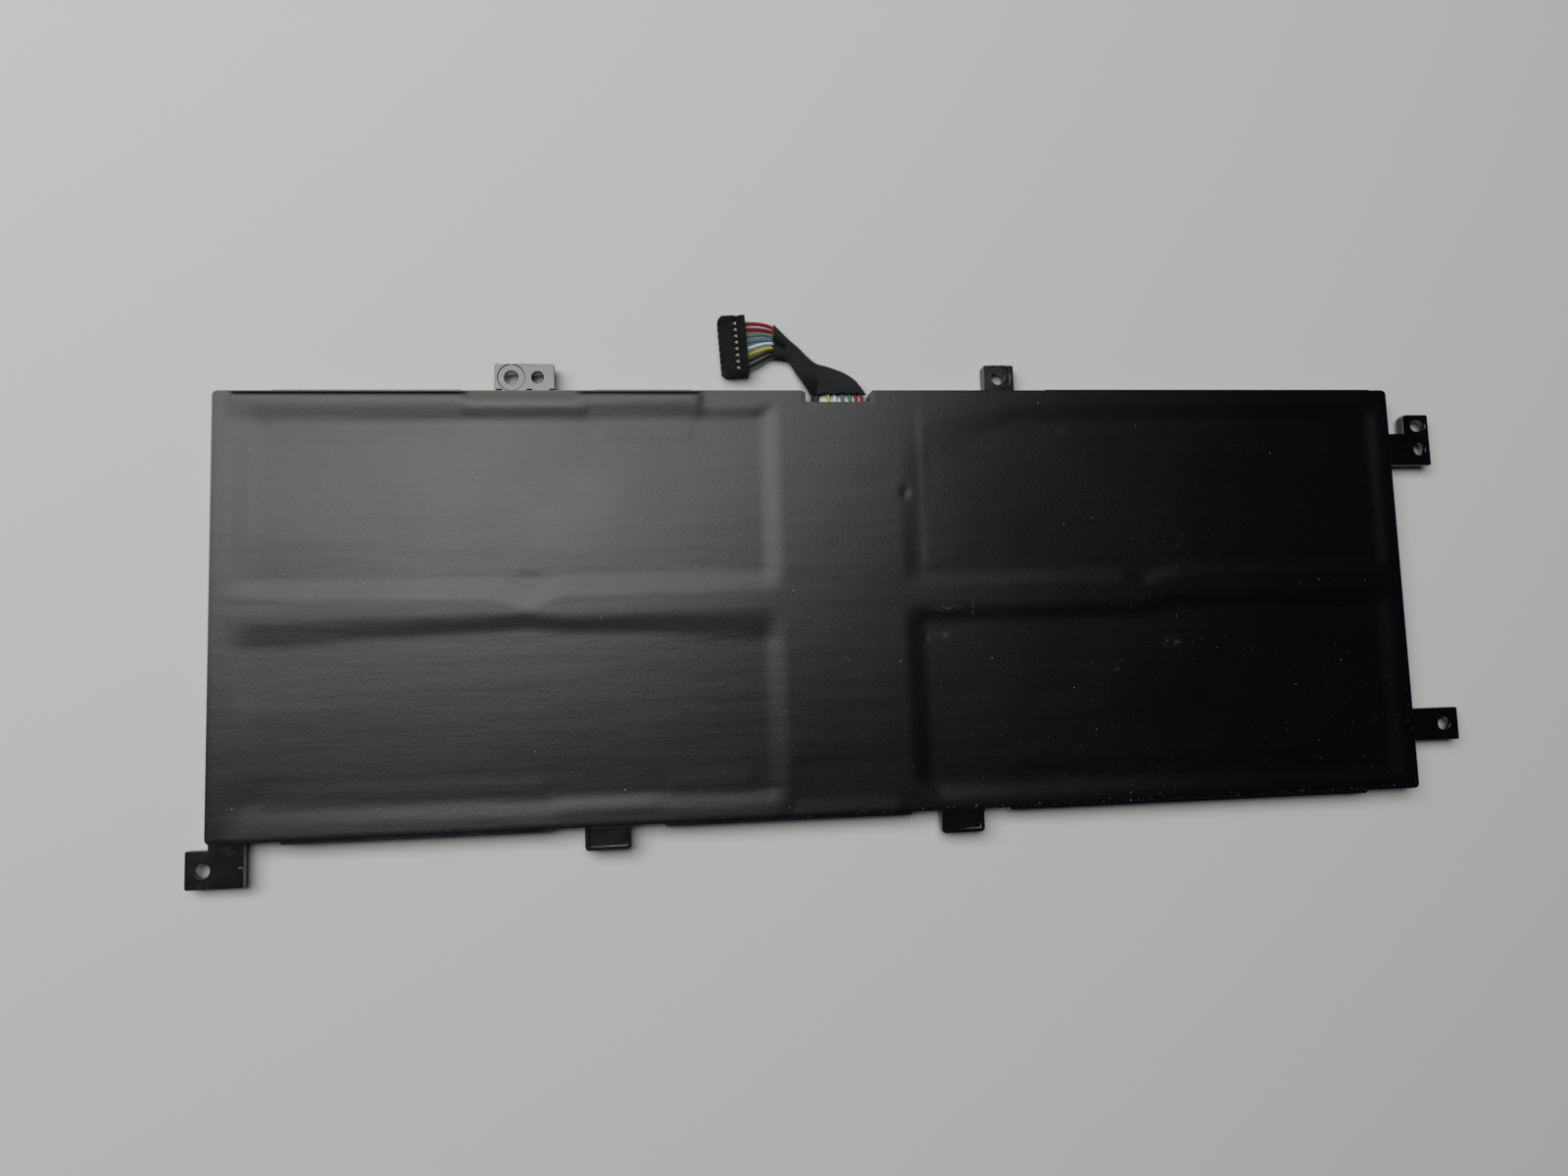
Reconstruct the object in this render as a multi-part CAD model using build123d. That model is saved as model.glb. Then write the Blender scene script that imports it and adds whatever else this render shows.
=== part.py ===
from build123d import *

import math
import os
from collections import namedtuple

# A flat internal laptop battery, in millimetres, lying on its lower film.
# X runs along the pack, Y towards the edge that the lead leaves, Z up to the upper film.
# The origin is the middle of the lower face.

# Cells
cell_length = 115.0
cell_width = 43.55
cell_thickness = 4.5
cell_edge_radius = 1.3
terrace_length = 3.5
terrace_inset = 1.5
terrace_thickness = 0.3
cell_clearance = 0.6
terrace_clearance = 1.25
cell_tape_thickness = 0.1
cell_tape_width = 8.0
cell_tape_inset = 6.0

# Films
film_thickness = 0.15
film_inset = 0.22
film_recess = 0.45
cell_headroom = 0.05
recess_end_margin = 3.25
recess_end_slope = 3.5
recess_side_margin = 3.1
recess_side_slope = 3.0
recess_mid_margin = 2.0
recess_mid_slope = 5.0
recess_column_gap = 0.1
recess_column_slope = 5.0
recess_short_gap = 3.5
recess_short_slope = 2.0
recess_cut_corner = 5.5

# Frame walls
rim_width = 2.4
mid_rib_width = 2.0
column_width = 27.0
column_rib_width = 1.6
crossbar_y = -35.0
crossbar_width = 1.6
body_corner = 1.2
bay_corner = 1.0
pad_bevel = 0.7
rear_pad_proud = 0.25
front_pad_proud = 0.7
pad_drop = 0.4
rear_pads = [(-124.6, -83.9), (-55.6, -33.2), (49.3, 132.5)]
front_pads = [(-121.8, -65.4), (-41.7, 13.9), (35.8, 123.5)]

# Gap for the lead
notch_left = -7.4
notch_right = 7.6
notch_depth = 2.75
notch_flare = 0.7

# Screw tabs
tab_drop = 1.85
tab_thickness = 1.4
side_tab_thickness = 1.3
tab_corner = 0.45
screw_hole = 3.1
screw_seat = 6.0
screw_seat_depth = 0.25
rear_hole_reach = 3.5
rear_tab_reach = 6.5
pair_tab_left = -77.2
pair_tab_width = 13.2
pair_hole_inset = 3.65
peg_hole = 2.7
peg_hole_pitch = 5.8
gusset_width = 1.1
gusset_reach = 0.8
gusset_rise = 1.1
gusset_offsets = [1.0, 7.6, 12.6]
block_tab_left = 35.55
block_tab_width = 7.25
block_tab_thickness = 2.8
block_hole_inset = 3.5
side_hole_reach = 9.2
boss_tab_bottom = 29.8
boss_tab_neck = 7.9
boss_tab_height = 12.6
boss_tab_reach = 11.95
boss_gap = 5.2
boss_thickness = 2.2
boss_bevel = 0.8
boss_hole_rise = 4.05
slot_rise = 9.9
slot_length = 3.9
slot_width = 2.9
plain_tab_bottom = -37.25
plain_tab_height = 7.7
plain_tab_reach = 12.85
plain_hole_rise = 3.9
corner_tab_left = 4.5
corner_tab_right = 7.3
corner_tab_reach = 9.3
corner_tab_step = 1.3
corner_hole_left = 1.05
corner_hole_reach = 5.45
corner_rim_width = 1.1
corner_rim_rise = 0.5
corner_rim_gap = 0.6
corner_rim_gap_reach = 4.5

# Hooking tongues
tongue_centres = [-53.75, 25.3]
tongue_width = 9.9
tongue_reach = 5.2
tongue_corner = 0.9
tongue_drop = 1.05
tongue_step = 0.75
tongue_step_drop = 0.35
tongue_root_height = 3.8
tongue_tip_height = 1.5
tongue_dish_inset = 0.9
tongue_dish_depth = 0.2

# Circuit board and what is on it
board_thickness = 0.8
board_clearance = 0.5
board_setback = 2.35
board_ledge_width = 1.5
board_ledge_height = 1.45
board_pin = 1.8
board_pin_inset = 2.3
board_pin_clearance = 0.15
board_pin_rise = 0.6
plate_length = 4.0
plate_width = 6.0
plate_thickness = 0.2
plate_inset = 0.8
tab_first = 10.4
tab_pitch = 16.0
cell_tab_width = 5.0
cell_tab_thickness = 0.12
cell_tab_clearance = 0.6
cell_tab_overhang = 0.4
tab_tape_width = 7.0
tab_tape_thickness = 0.08
component_bevel = 0.08
component_clearance = 0.5
fuse_length = 5.4
fuse_width = 3.4
fuse_height = 1.4
fuse_y = 30.0
chip_length = 7.8
chip_width = 4.4
chip_height = 1.0
chip_y = 1.0
leg_count = 8
leg_pitch = 0.8
leg_width = 0.3
leg_reach = 1.0
leg_foot = 0.5
leg_height = 0.5
leg_thickness = 0.17
switch_size = 3.3
switch_height = 0.9
switch_pitch = 5.0
switch_y = 18.0
resistor_length = 6.4
resistor_width = 3.2
resistor_height = 0.6
resistor_y = -14.0
capacitor_length = 1.6
capacitor_width = 0.8
capacitor_height = 0.8
capacitor_count = 6
capacitor_row_y = [-5.0, 10.0]
thermistor_length = 2.4
thermistor_diameter = 1.2
thermistor_y = -26.0
cover_side_inset = 0.9
cover_thickness = 0.2
cover_front_gap = 2.0
cover_rear_y = 35.5
wire_pad_length = 2.4
wire_pad_width = 1.0
wire_pad_thickness = 0.1
lead_tape_left = -4.6
lead_tape_right = 6.0
lead_tape_overlap = 2.4
lead_tape_setback = 1.1
lead_tape_thickness = 0.06

# Lead
wire_diameter = 0.85
wire_sides = 6
bend_share = 0.45
wire_names = ["black_1", "black_2", "yellow", "white", "blue", "green", "red_1", "red_2"]
sleeve_wall = 0.25
sleeve_corner = 0.55

# Plug
plug_x = -23.45
plug_out = 11.2
plug_turn = 3.4
plug_length = 6.3
plug_width = 13.9
plug_height = 3.6
plug_chamfer = 0.9
contact_pitch = 1.5
contact_level = 2.0
contact_length = 3.5
cavity_length = 4.2
contact_width = 0.8
contact_height = 1.8
contact_wall = 0.18
contact_clearance = 0.06
wire_entry = 1.1
wire_seat_depth = 1.8
window_size = 0.75
window_inset = 2.45
groove_width = 1.0
groove_depth = 0.5
groove_inset = 1.4
key_slot_width = 0.6
key_slot_depth = 0.35

# The route of the lead, chosen point by point from the board to the plug: a place, with its distance
# out from the rear edge, a heading in degrees, how far the outer wires lie from the middle, how far
# neighbours have paired up (0 is side by side, 1 is one above the other) and half the height between
# the two layers.
Station = namedtuple("Station", "x out z heading reach pairing lift")
board_run = [
    Station(0.3, -8.75, 2.95, 90, 5.2, 0.0, 0.0),
    Station(0.2, -4.75, 2.97, 90, 5.7, 0.0, 0.0),
]
sleeved_run = [
    Station(0.3, -0.65, 2.9, 90, 5.95, 0.0, 0.0),
    Station(-1.7, 2.8, 2.5, 99, 4.8, 0.45, 0.36),
    Station(-4.1, 4.95, 2.0, 106, 3.4, 0.8, 0.58),
    Station(-6.6, 6.45, 1.7, 112, 1.95, 1.0, 0.6),
    Station(-8.4, 8.35, 1.6, 127, 1.5, 1.0, 0.6),
    Station(-10.4, 10.45, 1.6, 141, 1.45, 1.0, 0.6),
    Station(-14.2, 12.65, 1.9, 176, 3.3, 0.0, 0.35),
]
fanned_run = [Station(-17.3, 12.25, 2.0, 182, 4.4, 0.0, 0.12)]
sleeve_sizes = [(13.6, 1.8), (11.8, 2.3), (8.8, 2.8), (6.0, 2.9), (5.1, 2.9), (5.4, 2.9), (8.6, 2.7)]

# Levels and places that follow from the sizes
frame_bottom = film_thickness
frame_height = cell_tape_thickness + cell_thickness + cell_headroom + film_recess
frame_top = frame_bottom + frame_height
film_top = frame_top + film_thickness
cell_bottom = frame_bottom + cell_tape_thickness
cell_end_room = cell_clearance + cell_length + terrace_length + terrace_clearance
body_length = column_width + 2 * (cell_end_room + rim_width)
body_width = mid_rib_width + 2 * (cell_width + 2 * cell_clearance + rim_width)
body_end = body_length / 2
body_rear = body_width / 2
bay_length = cell_end_room
bay_width = cell_width + 2 * cell_clearance
bay_x = (column_width + bay_length) / 2
bay_y = (mid_rib_width + bay_width) / 2
inner_rear = body_rear - rim_width
column_inside = column_width - 2 * column_rib_width
crossbar_rear = crossbar_y + crossbar_width / 2
crossbar_front = crossbar_y - crossbar_width / 2
tab_top = frame_top - tab_drop
rear_hole_y = body_rear + rear_hole_reach
side_hole_x = body_end + side_hole_reach
board_bottom = frame_bottom + board_ledge_height
board_top = board_bottom + board_thickness
board_width = column_inside - 2 * board_clearance
board_rear = inner_rear - board_setback
board_front = crossbar_rear + board_clearance
board_pin_x = board_width / 2 - board_pin_inset
board_pins = [
    (-board_pin_x, board_rear - board_pin_inset),
    (board_pin_x, board_rear - board_pin_inset),
    (0, board_front + board_pin_inset),
]
tab_level = board_top + plate_thickness
terrace_bottom = tab_level + (cell_tab_thickness - terrace_thickness) / 2
terrace_end = column_width / 2 + terrace_clearance
tab_places = [(side, row * (tab_first + step * tab_pitch), step)
              for side in (-1, 1) for row in (-1, 1) for step in (0, 1)]


def slab(outline, bottom, top):
    """A flat solid of one outline between two levels."""
    return extrude(Pos(0, 0, bottom) * outline, amount=top - bottom, dir=(0, 0, 1))


def rectangle_between(left, right, front, rear):
    """A rectangle given by its four edges."""
    return Pos((left + right) / 2, (front + rear) / 2) * Rectangle(right - left, rear - front)


def round_corners(outline, corners, radius):
    """Rounds the corners of an outline that lie at the given points."""
    vertices = [min(outline.vertices(), key=lambda v: (Vector(v) - Vector(*corner)).length)
                for corner in corners]
    return fillet(vertices, radius)


def group(solids):
    """Separate solids of one kind, kept together."""
    return Compound(children=list(solids))


def notch_outline():
    """The gap that the lead leaves through, flared where it opens at the rear edge."""
    floor = body_rear - notch_depth
    mouth = body_rear - notch_flare
    outside = body_rear + notch_flare
    flare = 2 * notch_flare
    return Polygon(
        (notch_left, floor), (notch_right, floor), (notch_right, mouth),
        (notch_right + flare, outside), (notch_left - flare, outside), (notch_left, mouth),
        align=None)


def wall_pad(start, end, wall, proud):
    """A long pad that stands proud of a wall, with bevelled ends. A negative proud faces the front."""
    return Polygon(
        (start, wall - proud), (start, wall), (start + pad_bevel, wall + proud),
        (end - pad_bevel, wall + proud), (end, wall), (end, wall - proud), align=None)


def rear_pair_tab():
    """The rear tab with a seated screw hole, a smaller peg hole and three gussets at its root."""
    left, right = pair_tab_left, pair_tab_left + pair_tab_width
    rear = body_rear + rear_tab_reach
    screw = Pos(left + pair_hole_inset, rear_hole_y)
    outline = rectangle_between(left, right, inner_rear, rear)
    outline = round_corners(outline, [(left, rear), (right, rear)], tab_corner)
    outline -= screw * Circle(screw_hole / 2)
    outline -= screw * Pos(peg_hole_pitch, 0) * Circle(peg_hole / 2)
    tab = slab(outline, tab_top - tab_thickness, tab_top)
    tab -= slab(screw * Circle(screw_seat / 2), tab_top - screw_seat_depth, tab_top)
    profile = Polygon((inner_rear, 0), (body_rear + gusset_reach, 0), (body_rear, gusset_rise),
                      (inner_rear, gusset_rise), align=None)
    for offset in gusset_offsets:
        place = Plane((left + offset - gusset_width / 2, 0, tab_top), x_dir=(0, 1, 0), z_dir=(1, 0, 0))
        tab += extrude(place * profile, amount=gusset_width)
    return tab


def rear_block_tab():
    """The thick rear tab with one seated screw hole."""
    left, right = block_tab_left, block_tab_left + block_tab_width
    rear = body_rear + rear_tab_reach
    screw = Pos(left + block_hole_inset, rear_hole_y)
    outline = rectangle_between(left, right, inner_rear, rear)
    outline = round_corners(outline, [(left, rear), (right, rear)], tab_corner)
    outline -= screw * Circle(screw_hole / 2)
    tab = slab(outline, tab_top - block_tab_thickness, tab_top)
    return tab - slab(screw * Circle(screw_seat / 2), tab_top - screw_seat_depth, tab_top)


def side_boss_tab():
    """The upper tab of the right end: a plate with a screw hole, and a boss with a slot beside it."""
    inner = body_end - rim_width
    right = body_end + boss_tab_reach
    bottom = boss_tab_bottom
    neck = bottom + boss_tab_neck
    top = bottom + boss_tab_height
    boss_left = body_end + boss_gap
    plate = rectangle_between(inner, right, bottom, neck)
    plate = round_corners(plate, [(right, bottom)], tab_corner)
    plate -= Pos(side_hole_x, bottom + boss_hole_rise) * Circle(screw_hole / 2)
    boss = rectangle_between(boss_left, right, neck, top)
    boss = round_corners(boss, [(right, top)], tab_corner)
    boss -= Pos(side_hole_x, bottom + slot_rise) * SlotOverall(slot_length, slot_width)
    body = slab(boss, tab_top - boss_thickness, tab_top)
    body = chamfer(body.edges().filter_by(Axis.Z).sort_by_distance((boss_left, top, tab_top))[0], boss_bevel)
    return body + slab(plate, tab_top - side_tab_thickness, tab_top)


def side_plain_tab():
    """The lower tab of the right end, a plate with one screw hole."""
    right = body_end + plain_tab_reach
    bottom, top = plain_tab_bottom, plain_tab_bottom + plain_tab_height
    outline = rectangle_between(body_end - rim_width, right, bottom, top)
    outline = round_corners(outline, [(right, bottom), (right, top)], tab_corner)
    outline -= Pos(side_hole_x, bottom + plain_hole_rise) * Circle(screw_hole / 2)
    return slab(outline, tab_top - side_tab_thickness, tab_top)


def corner_tab():
    """The tab at the front left corner, stepped round the corner, with a low rim on its right."""
    left, right = -body_end - corner_tab_left, -body_end + corner_tab_right
    front = -body_rear - corner_tab_reach
    step = -body_rear - corner_tab_step
    inner = -inner_rear
    outline = Polygon((-body_end, inner), (-body_end, step), (left, step), (left, front),
                      (right, front), (right, inner), align=None)
    outline = round_corners(outline, [(left, step), (left, front), (right, front)], tab_corner)
    outline -= Pos(-body_end - corner_hole_left, -body_rear - corner_hole_reach) * Circle(screw_hole / 2)
    tab = slab(outline, tab_top - tab_thickness, tab_top)
    gap = -body_rear - corner_rim_gap_reach
    for rim_front, rim_rear in ((front + tab_corner, gap - corner_rim_gap), (gap, -body_rear)):
        rim = rectangle_between(right - corner_rim_width, right, rim_front, rim_rear)
        tab += slab(rim, tab_top, tab_top + corner_rim_rise)
    return tab


def tongue(centre):
    """A front tongue that hooks under a ledge: deep at its root, thin at its tip, dished on top."""
    wall, tip = -body_rear, -body_rear - tongue_reach
    shelf = wall - tongue_step
    top = frame_top - tongue_drop
    profile = Polygon(
        (-inner_rear, top - tongue_root_height), (wall, top - tongue_root_height),
        (tip, top - tongue_tip_height), (tip, top), (shelf, top),
        (shelf, frame_top - tongue_step_drop), (-inner_rear, frame_top - tongue_step_drop), align=None)
    place = Plane((centre - tongue_width / 2, 0, 0), x_dir=(0, 1, 0), z_dir=(1, 0, 0))
    body = extrude(place * profile, amount=tongue_width, dir=(1, 0, 0))
    body = fillet(body.edges().filter_by(Axis.Z).group_by(Axis.Y)[0], tongue_corner)
    half = tongue_width / 2 - tongue_dish_inset
    dish = rectangle_between(centre - half, centre + half, tip + tongue_dish_inset, shelf)
    return body - slab(dish, top - tongue_dish_depth, top)


def frame():
    """The one-piece moulded frame: rim, ribs, board column, tabs, tongues and wall pads."""
    outline = Sketch() + RectangleRounded(body_length, body_width, body_corner)
    for side in (-1, 1):
        for row in (-1, 1):
            outline -= Pos(side * bay_x, row * bay_y) * RectangleRounded(bay_length, bay_width, bay_corner)
    half = column_inside / 2
    outline -= rectangle_between(-half, half, crossbar_rear, inner_rear)
    outline -= rectangle_between(-half, half, -inner_rear, crossbar_front)
    outline -= notch_outline()
    body = slab(outline, frame_bottom, frame_top)
    for start, end in rear_pads:
        body += slab(wall_pad(start, end, body_rear, rear_pad_proud), frame_bottom, frame_top - pad_drop)
    for start, end in front_pads:
        body += slab(wall_pad(start, end, -body_rear, -front_pad_proud), frame_bottom, frame_top - pad_drop)
    body += [rear_pair_tab(), rear_block_tab(), side_boss_tab(), side_plain_tab(), corner_tab()]
    body += [tongue(centre) for centre in tongue_centres]
    body += board_ledges()
    tab_gap = Rectangle(2 * column_rib_width, cell_tab_width + 2 * cell_tab_clearance)
    for side, y, _ in tab_places:
        rib = side * (column_width - column_rib_width) / 2
        body -= slab(Pos(rib, y) * tab_gap, terrace_bottom, frame_top)
    return body


def board_ledges():
    """The ledges, corner pads and pins that carry the circuit board inside the column."""
    half = column_inside / 2
    inner = half - board_ledge_width
    outline = rectangle_between(-half, half, crossbar_rear, board_rear)
    outline -= rectangle_between(-inner, inner, crossbar_rear, board_rear)
    pad = 2 * (board_pin_inset + board_clearance)
    rails = Sketch() + outline
    for x, y in board_pins:
        rails += Pos(x, y) * Rectangle(pad, pad)
    inside = rectangle_between(-half, half, crossbar_rear, board_rear)
    ledges = slab(rails & inside, frame_bottom, board_bottom)
    pins = [slab(Pos(x, y) * Circle(board_pin / 2), board_bottom, board_top + board_pin_rise)
            for x, y in board_pins]
    return [ledges, *pins]


def film_outline():
    """The outline of either film, just inside the frame's walls, with the gap for the lead."""
    sheet = RectangleRounded(body_length - 2 * film_inset, body_width - 2 * film_inset, body_corner)
    return sheet - notch_outline()


def panel_outline(side, row, inset):
    """The outline of a sunk panel over one cell: at its edge, or inset to the foot of its slopes."""
    short = side > 0 and row > 0
    margin = column_width / 2 + (recess_short_gap if short else recess_column_gap)
    slope = recess_short_slope if short else recess_column_slope
    inner = margin + inset * slope
    outer = body_end - recess_end_margin - inset * recess_end_slope
    near = recess_mid_margin + inset * recess_mid_slope
    far = body_rear - recess_side_margin - inset * recess_side_slope
    corners = [(inner, near), (outer, near), (outer, far)]
    if side > 0 and row < 0:
        corners += [(inner + recess_cut_corner, far), (inner, far - recess_cut_corner)]
    else:
        corners += [(inner, far)]
    return Polygon(*[(side * x, row * y) for x, y in corners], align=None)


def top_film():
    """The upper film: flat over the frame, and sunk with soft slopes over the four cells."""
    film = slab(film_outline(), frame_top, film_top)
    for side in (-1, 1):
        for row in (-1, 1):
            edge, foot = panel_outline(side, row, 0), panel_outline(side, row, 1)
            film += loft([Pos(0, 0, frame_top) * edge, Pos(0, 0, frame_top - film_recess) * foot])
            film -= loft([Pos(0, 0, film_top) * edge, Pos(0, 0, film_top - film_recess) * foot])
    return film


def bottom_film():
    """The flat lower film."""
    return slab(film_outline(), 0, film_thickness)


def cell(side, row):
    """A pouch cell: a flat body with rounded long edges and a thin sealed terrace at its tab end."""
    near_end = terrace_end + terrace_length
    middle = side * (near_end + cell_length / 2)
    profile = RectangleRounded(cell_width, cell_thickness, cell_edge_radius)
    place = Plane((middle - cell_length / 2, row * bay_y, cell_bottom + cell_thickness / 2),
                  x_dir=(0, 1, 0), z_dir=(1, 0, 0))
    body = extrude(place * profile, amount=cell_length)
    terrace = Pos(side * (terrace_end + terrace_length / 2), row * bay_y)
    terrace *= Rectangle(terrace_length, cell_width - 2 * terrace_inset)
    return body + slab(terrace, terrace_bottom, terrace_bottom + terrace_thickness)


def cell_tabs(wanted_step):
    """The tabs of one kind, one from each cell, welded to their plates on the board."""
    tip = board_width / 2 - plate_inset - plate_length + cell_tab_overhang
    solids = []
    for side, y, step in tab_places:
        if step == wanted_step:
            outline = Pos(side * (terrace_end + tip) / 2, y) * Rectangle(terrace_end - tip, cell_tab_width)
            solids.append(slab(outline, tab_level, tab_level + cell_tab_thickness))
    return group(solids)


def weld_plates():
    """The plates at the board's edges that the cell tabs are welded to."""
    middle = board_width / 2 - plate_inset - plate_length / 2
    outline = Rectangle(plate_length, plate_width)
    return group(slab(Pos(side * middle, y) * outline, board_top, tab_level) for side, y, _ in tab_places)


def tab_tapes():
    """The insulating tape over each terrace where a tab leaves its cell."""
    level = terrace_bottom + terrace_thickness
    outline = Rectangle(terrace_length, tab_tape_width)
    middle = terrace_end + terrace_length / 2
    return group(slab(Pos(side * middle, y) * outline, level, level + tab_tape_thickness)
                 for side, y, _ in tab_places)


def cell_tapes():
    """Two strips of double-sided tape between each cell and the lower film."""
    length = cell_length - 2 * cell_tape_inset
    middle = terrace_end + terrace_length + cell_length / 2
    spread = cell_width / 2 - cell_tape_inset - cell_tape_width / 2
    outline = Rectangle(length, cell_tape_width)
    return group(slab(Pos(side * middle, row * bay_y + offset) * outline, frame_bottom, cell_bottom)
                 for side in (-1, 1) for row in (-1, 1) for offset in (-spread, spread))


def circuit_board():
    """The protection board, held on the frame's pins."""
    outline = rectangle_between(-board_width / 2, board_width / 2, board_front, board_rear)
    for x, y in board_pins:
        outline -= Pos(x, y) * Circle(board_pin / 2 + board_pin_clearance)
    return slab(outline, board_bottom, board_top)


def gauge_chip():
    """The gauge chip: a moulded body with two rows of bent legs."""
    body = Pos(0, chip_y, board_top) * Box(
        chip_width, chip_length, chip_height, align=(Align.CENTER, Align.CENTER, Align.MIN))
    body = chamfer(body.edges().group_by(Axis.Z)[-1], component_bevel)
    knee = leg_reach - leg_foot
    leg = Polygon((0, 0), (leg_reach, 0), (leg_reach, leg_thickness), (knee, leg_thickness),
                  (knee, leg_height), (0, leg_height), align=None)
    for side in (-1, 1):
        for number in range(leg_count):
            y = chip_y + (number - (leg_count - 1) / 2) * leg_pitch
            place = Plane((side * chip_width / 2, y + side * leg_width / 2, board_top),
                          x_dir=(side, 0, 0), z_dir=(0, -side, 0))
            body += extrude(place * leg, amount=leg_width)
    return body


def block_on_board(x, y, length, width, height):
    """A plain rectangular component with a lightly bevelled top, standing on the board."""
    body = slab(Pos(x, y) * Rectangle(length, width), board_top, board_top + height)
    return chamfer(body.edges().group_by(Axis.Z)[-1], component_bevel)


def capacitors():
    """Two rows of chip capacitors, spread over the room between the weld plates."""
    room = board_width - 2 * (plate_inset + plate_length + component_clearance)
    span = room - capacitor_width
    places = [number * span / (capacitor_count - 1) - span / 2 for number in range(capacitor_count)]
    return group(block_on_board(x, y, capacitor_width, capacitor_length, capacitor_height)
                 for y in capacitor_row_y for x in places)


def thermistor():
    """The temperature sensor, a small glass bead lying on the board."""
    radius = thermistor_diameter / 2
    return Pos(0, thermistor_y, board_top + radius) * Rot(0, 90, 0) * Cylinder(radius, thermistor_length)


def board_cover_sheet():
    """The insulating paper that lies over the board's components."""
    half = board_width / 2 - cover_side_inset
    outline = rectangle_between(-half, half, board_front + cover_front_gap, cover_rear_y)
    level = board_top + fuse_height
    return slab(outline, level, level + cover_thickness)


def plug_place():
    """The place of the plug's own frame: its middle on the surface, X towards the wires."""
    return Pos(plug_x, body_rear + plug_out) * Rot(0, 0, plug_turn)


def contact_offsets():
    """The places of the contacts across the plug, from the first wire to the last."""
    count = len(wire_names)
    return [(number - (count - 1) / 2) * contact_pitch for number in range(count)]


def plug_housing():
    """The plug's moulding, with a cavity and a window for each contact and a row of key slots."""
    half = plug_length / 2
    outline = Rectangle(plug_length, plug_width)
    outline = chamfer(outline.vertices().group_by(Axis.X)[0], plug_chamfer)
    for offset in contact_offsets():
        outline -= Pos(-half, offset) * Rectangle(2 * key_slot_depth, key_slot_width)
    body = slab(outline, 0, plug_height)
    groove = Pos(half - groove_inset - groove_width / 2, 0) * Rectangle(groove_width, plug_width)
    body -= slab(groove, plug_height - groove_depth, plug_height)
    window = Rectangle(window_size, window_size)
    cavity = Rectangle(contact_width + 2 * contact_clearance, contact_height + 2 * contact_clearance)
    across = Plane((half - wire_seat_depth, 0, contact_level), x_dir=(0, 1, 0), z_dir=(-1, 0, 0))
    entry = Plane((half, 0, contact_level), x_dir=(0, 1, 0), z_dir=(-1, 0, 0))
    for offset in contact_offsets():
        body -= extrude(across * Pos(offset, 0) * cavity, amount=cavity_length)
        body -= extrude(entry * Pos(offset, 0) * Rectangle(wire_entry, wire_entry), amount=wire_seat_depth)
        body -= slab(Pos(half - window_inset, offset) * window, contact_level, plug_height)
    return plug_place() * body


def plug_contacts():
    """The eight terminals: folded channels that each wire ends in."""
    start = plug_length / 2 - wire_seat_depth
    across = Plane((start, 0, contact_level), x_dir=(0, 1, 0), z_dir=(-1, 0, 0))
    channel = Rectangle(contact_width, contact_height)
    channel -= Rectangle(contact_width - 2 * contact_wall, contact_height - 2 * contact_wall)
    return group(plug_place() * extrude(across * Pos(offset, 0) * channel, amount=contact_length)
                 for offset in contact_offsets())


def lane(station, number):
    """The place of one wire at one station of the lead's route."""
    count = len(wire_names)
    side_by_side = (2 * number - count + 1) / (count - 1)
    pairs = count // 2
    paired = (2 * (number // 2) - pairs + 1) / (pairs - 1)
    offset = station.reach * ((1 - station.pairing) * side_by_side + station.pairing * paired)
    layer = station.lift if number % 2 else -station.lift
    heading = math.radians(station.heading)
    return (station.x + offset * math.sin(heading),
            body_rear + station.out - offset * math.cos(heading),
            station.z + layer)


def wire_route(number):
    """The points of one wire, from its pad on the board to its seat in the plug."""
    points = [lane(station, number) for station in board_run + sleeved_run + fanned_run]
    for depth in (0, wire_seat_depth):
        seat = Pos(plug_length / 2 - depth, contact_offsets()[number], contact_level)
        points.append(tuple((plug_place() * seat).position))
    return points


def bend_radii(points):
    """The largest bend at each corner of a route that its two runs allow."""
    radii = []
    for before, corner, after in zip(points, points[1:], points[2:]):
        arriving = Vector(*corner) - Vector(*before)
        leaving = Vector(*after) - Vector(*corner)
        half_turn = math.radians(arriving.get_angle(leaving)) / 2
        radii.append(bend_share * min(arriving.length, leaving.length) / math.tan(half_turn))
    return radii


def wire(number):
    """One insulated wire: a slim many-sided tube along straight runs joined by tangent arcs."""
    points = wire_route(number)
    radii = bend_radii(points)
    path = FilletPolyline(*points, radius=radii)
    section = Plane(path @ 0, z_dir=path % 0) * RegularPolygon(wire_diameter / 2, wire_sides)
    tube = sweep(section, path=path)
    print(f"wire_{wire_names[number]}: length {path.length:.2f}, tightest bend {min(radii):.2f}, "
          f"volume over section times length {tube.volume / (section.area * path.length):.4f}")
    return tube


def wire_pads():
    """The solder pads on the board that the wires start from."""
    outline = Rectangle(wire_pad_width, wire_pad_length)
    places = [lane(board_run[0], number) for number in range(len(wire_names))]
    return group(slab(Pos(x, y) * outline, board_top, board_top + wire_pad_thickness) for x, y, _ in places)


def lead_tape():
    """The pale tape on the board's rear edge that the wires cross in the gap."""
    outline = rectangle_between(lead_tape_left, lead_tape_right,
                                board_rear - lead_tape_overlap, body_rear - lead_tape_setback)
    return slab(outline, board_top, board_top + lead_tape_thickness)


def sleeve_skin(inset):
    """The closed form of the sleeve, or of its hollow where inset is the sleeve's wall."""
    sections = []
    for station, (width, thickness) in zip(sleeved_run, sleeve_sizes):
        heading = math.radians(station.heading)
        place = Plane((station.x, body_rear + station.out, station.z),
                      x_dir=(math.sin(heading), -math.cos(heading), 0),
                      z_dir=(math.cos(heading), math.sin(heading), 0))
        section = Rectangle(width - 2 * inset, thickness - 2 * inset)
        sections.append(place * chamfer(section.vertices(), sleeve_corner - inset))
    return loft(sections, ruled=True)


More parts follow.
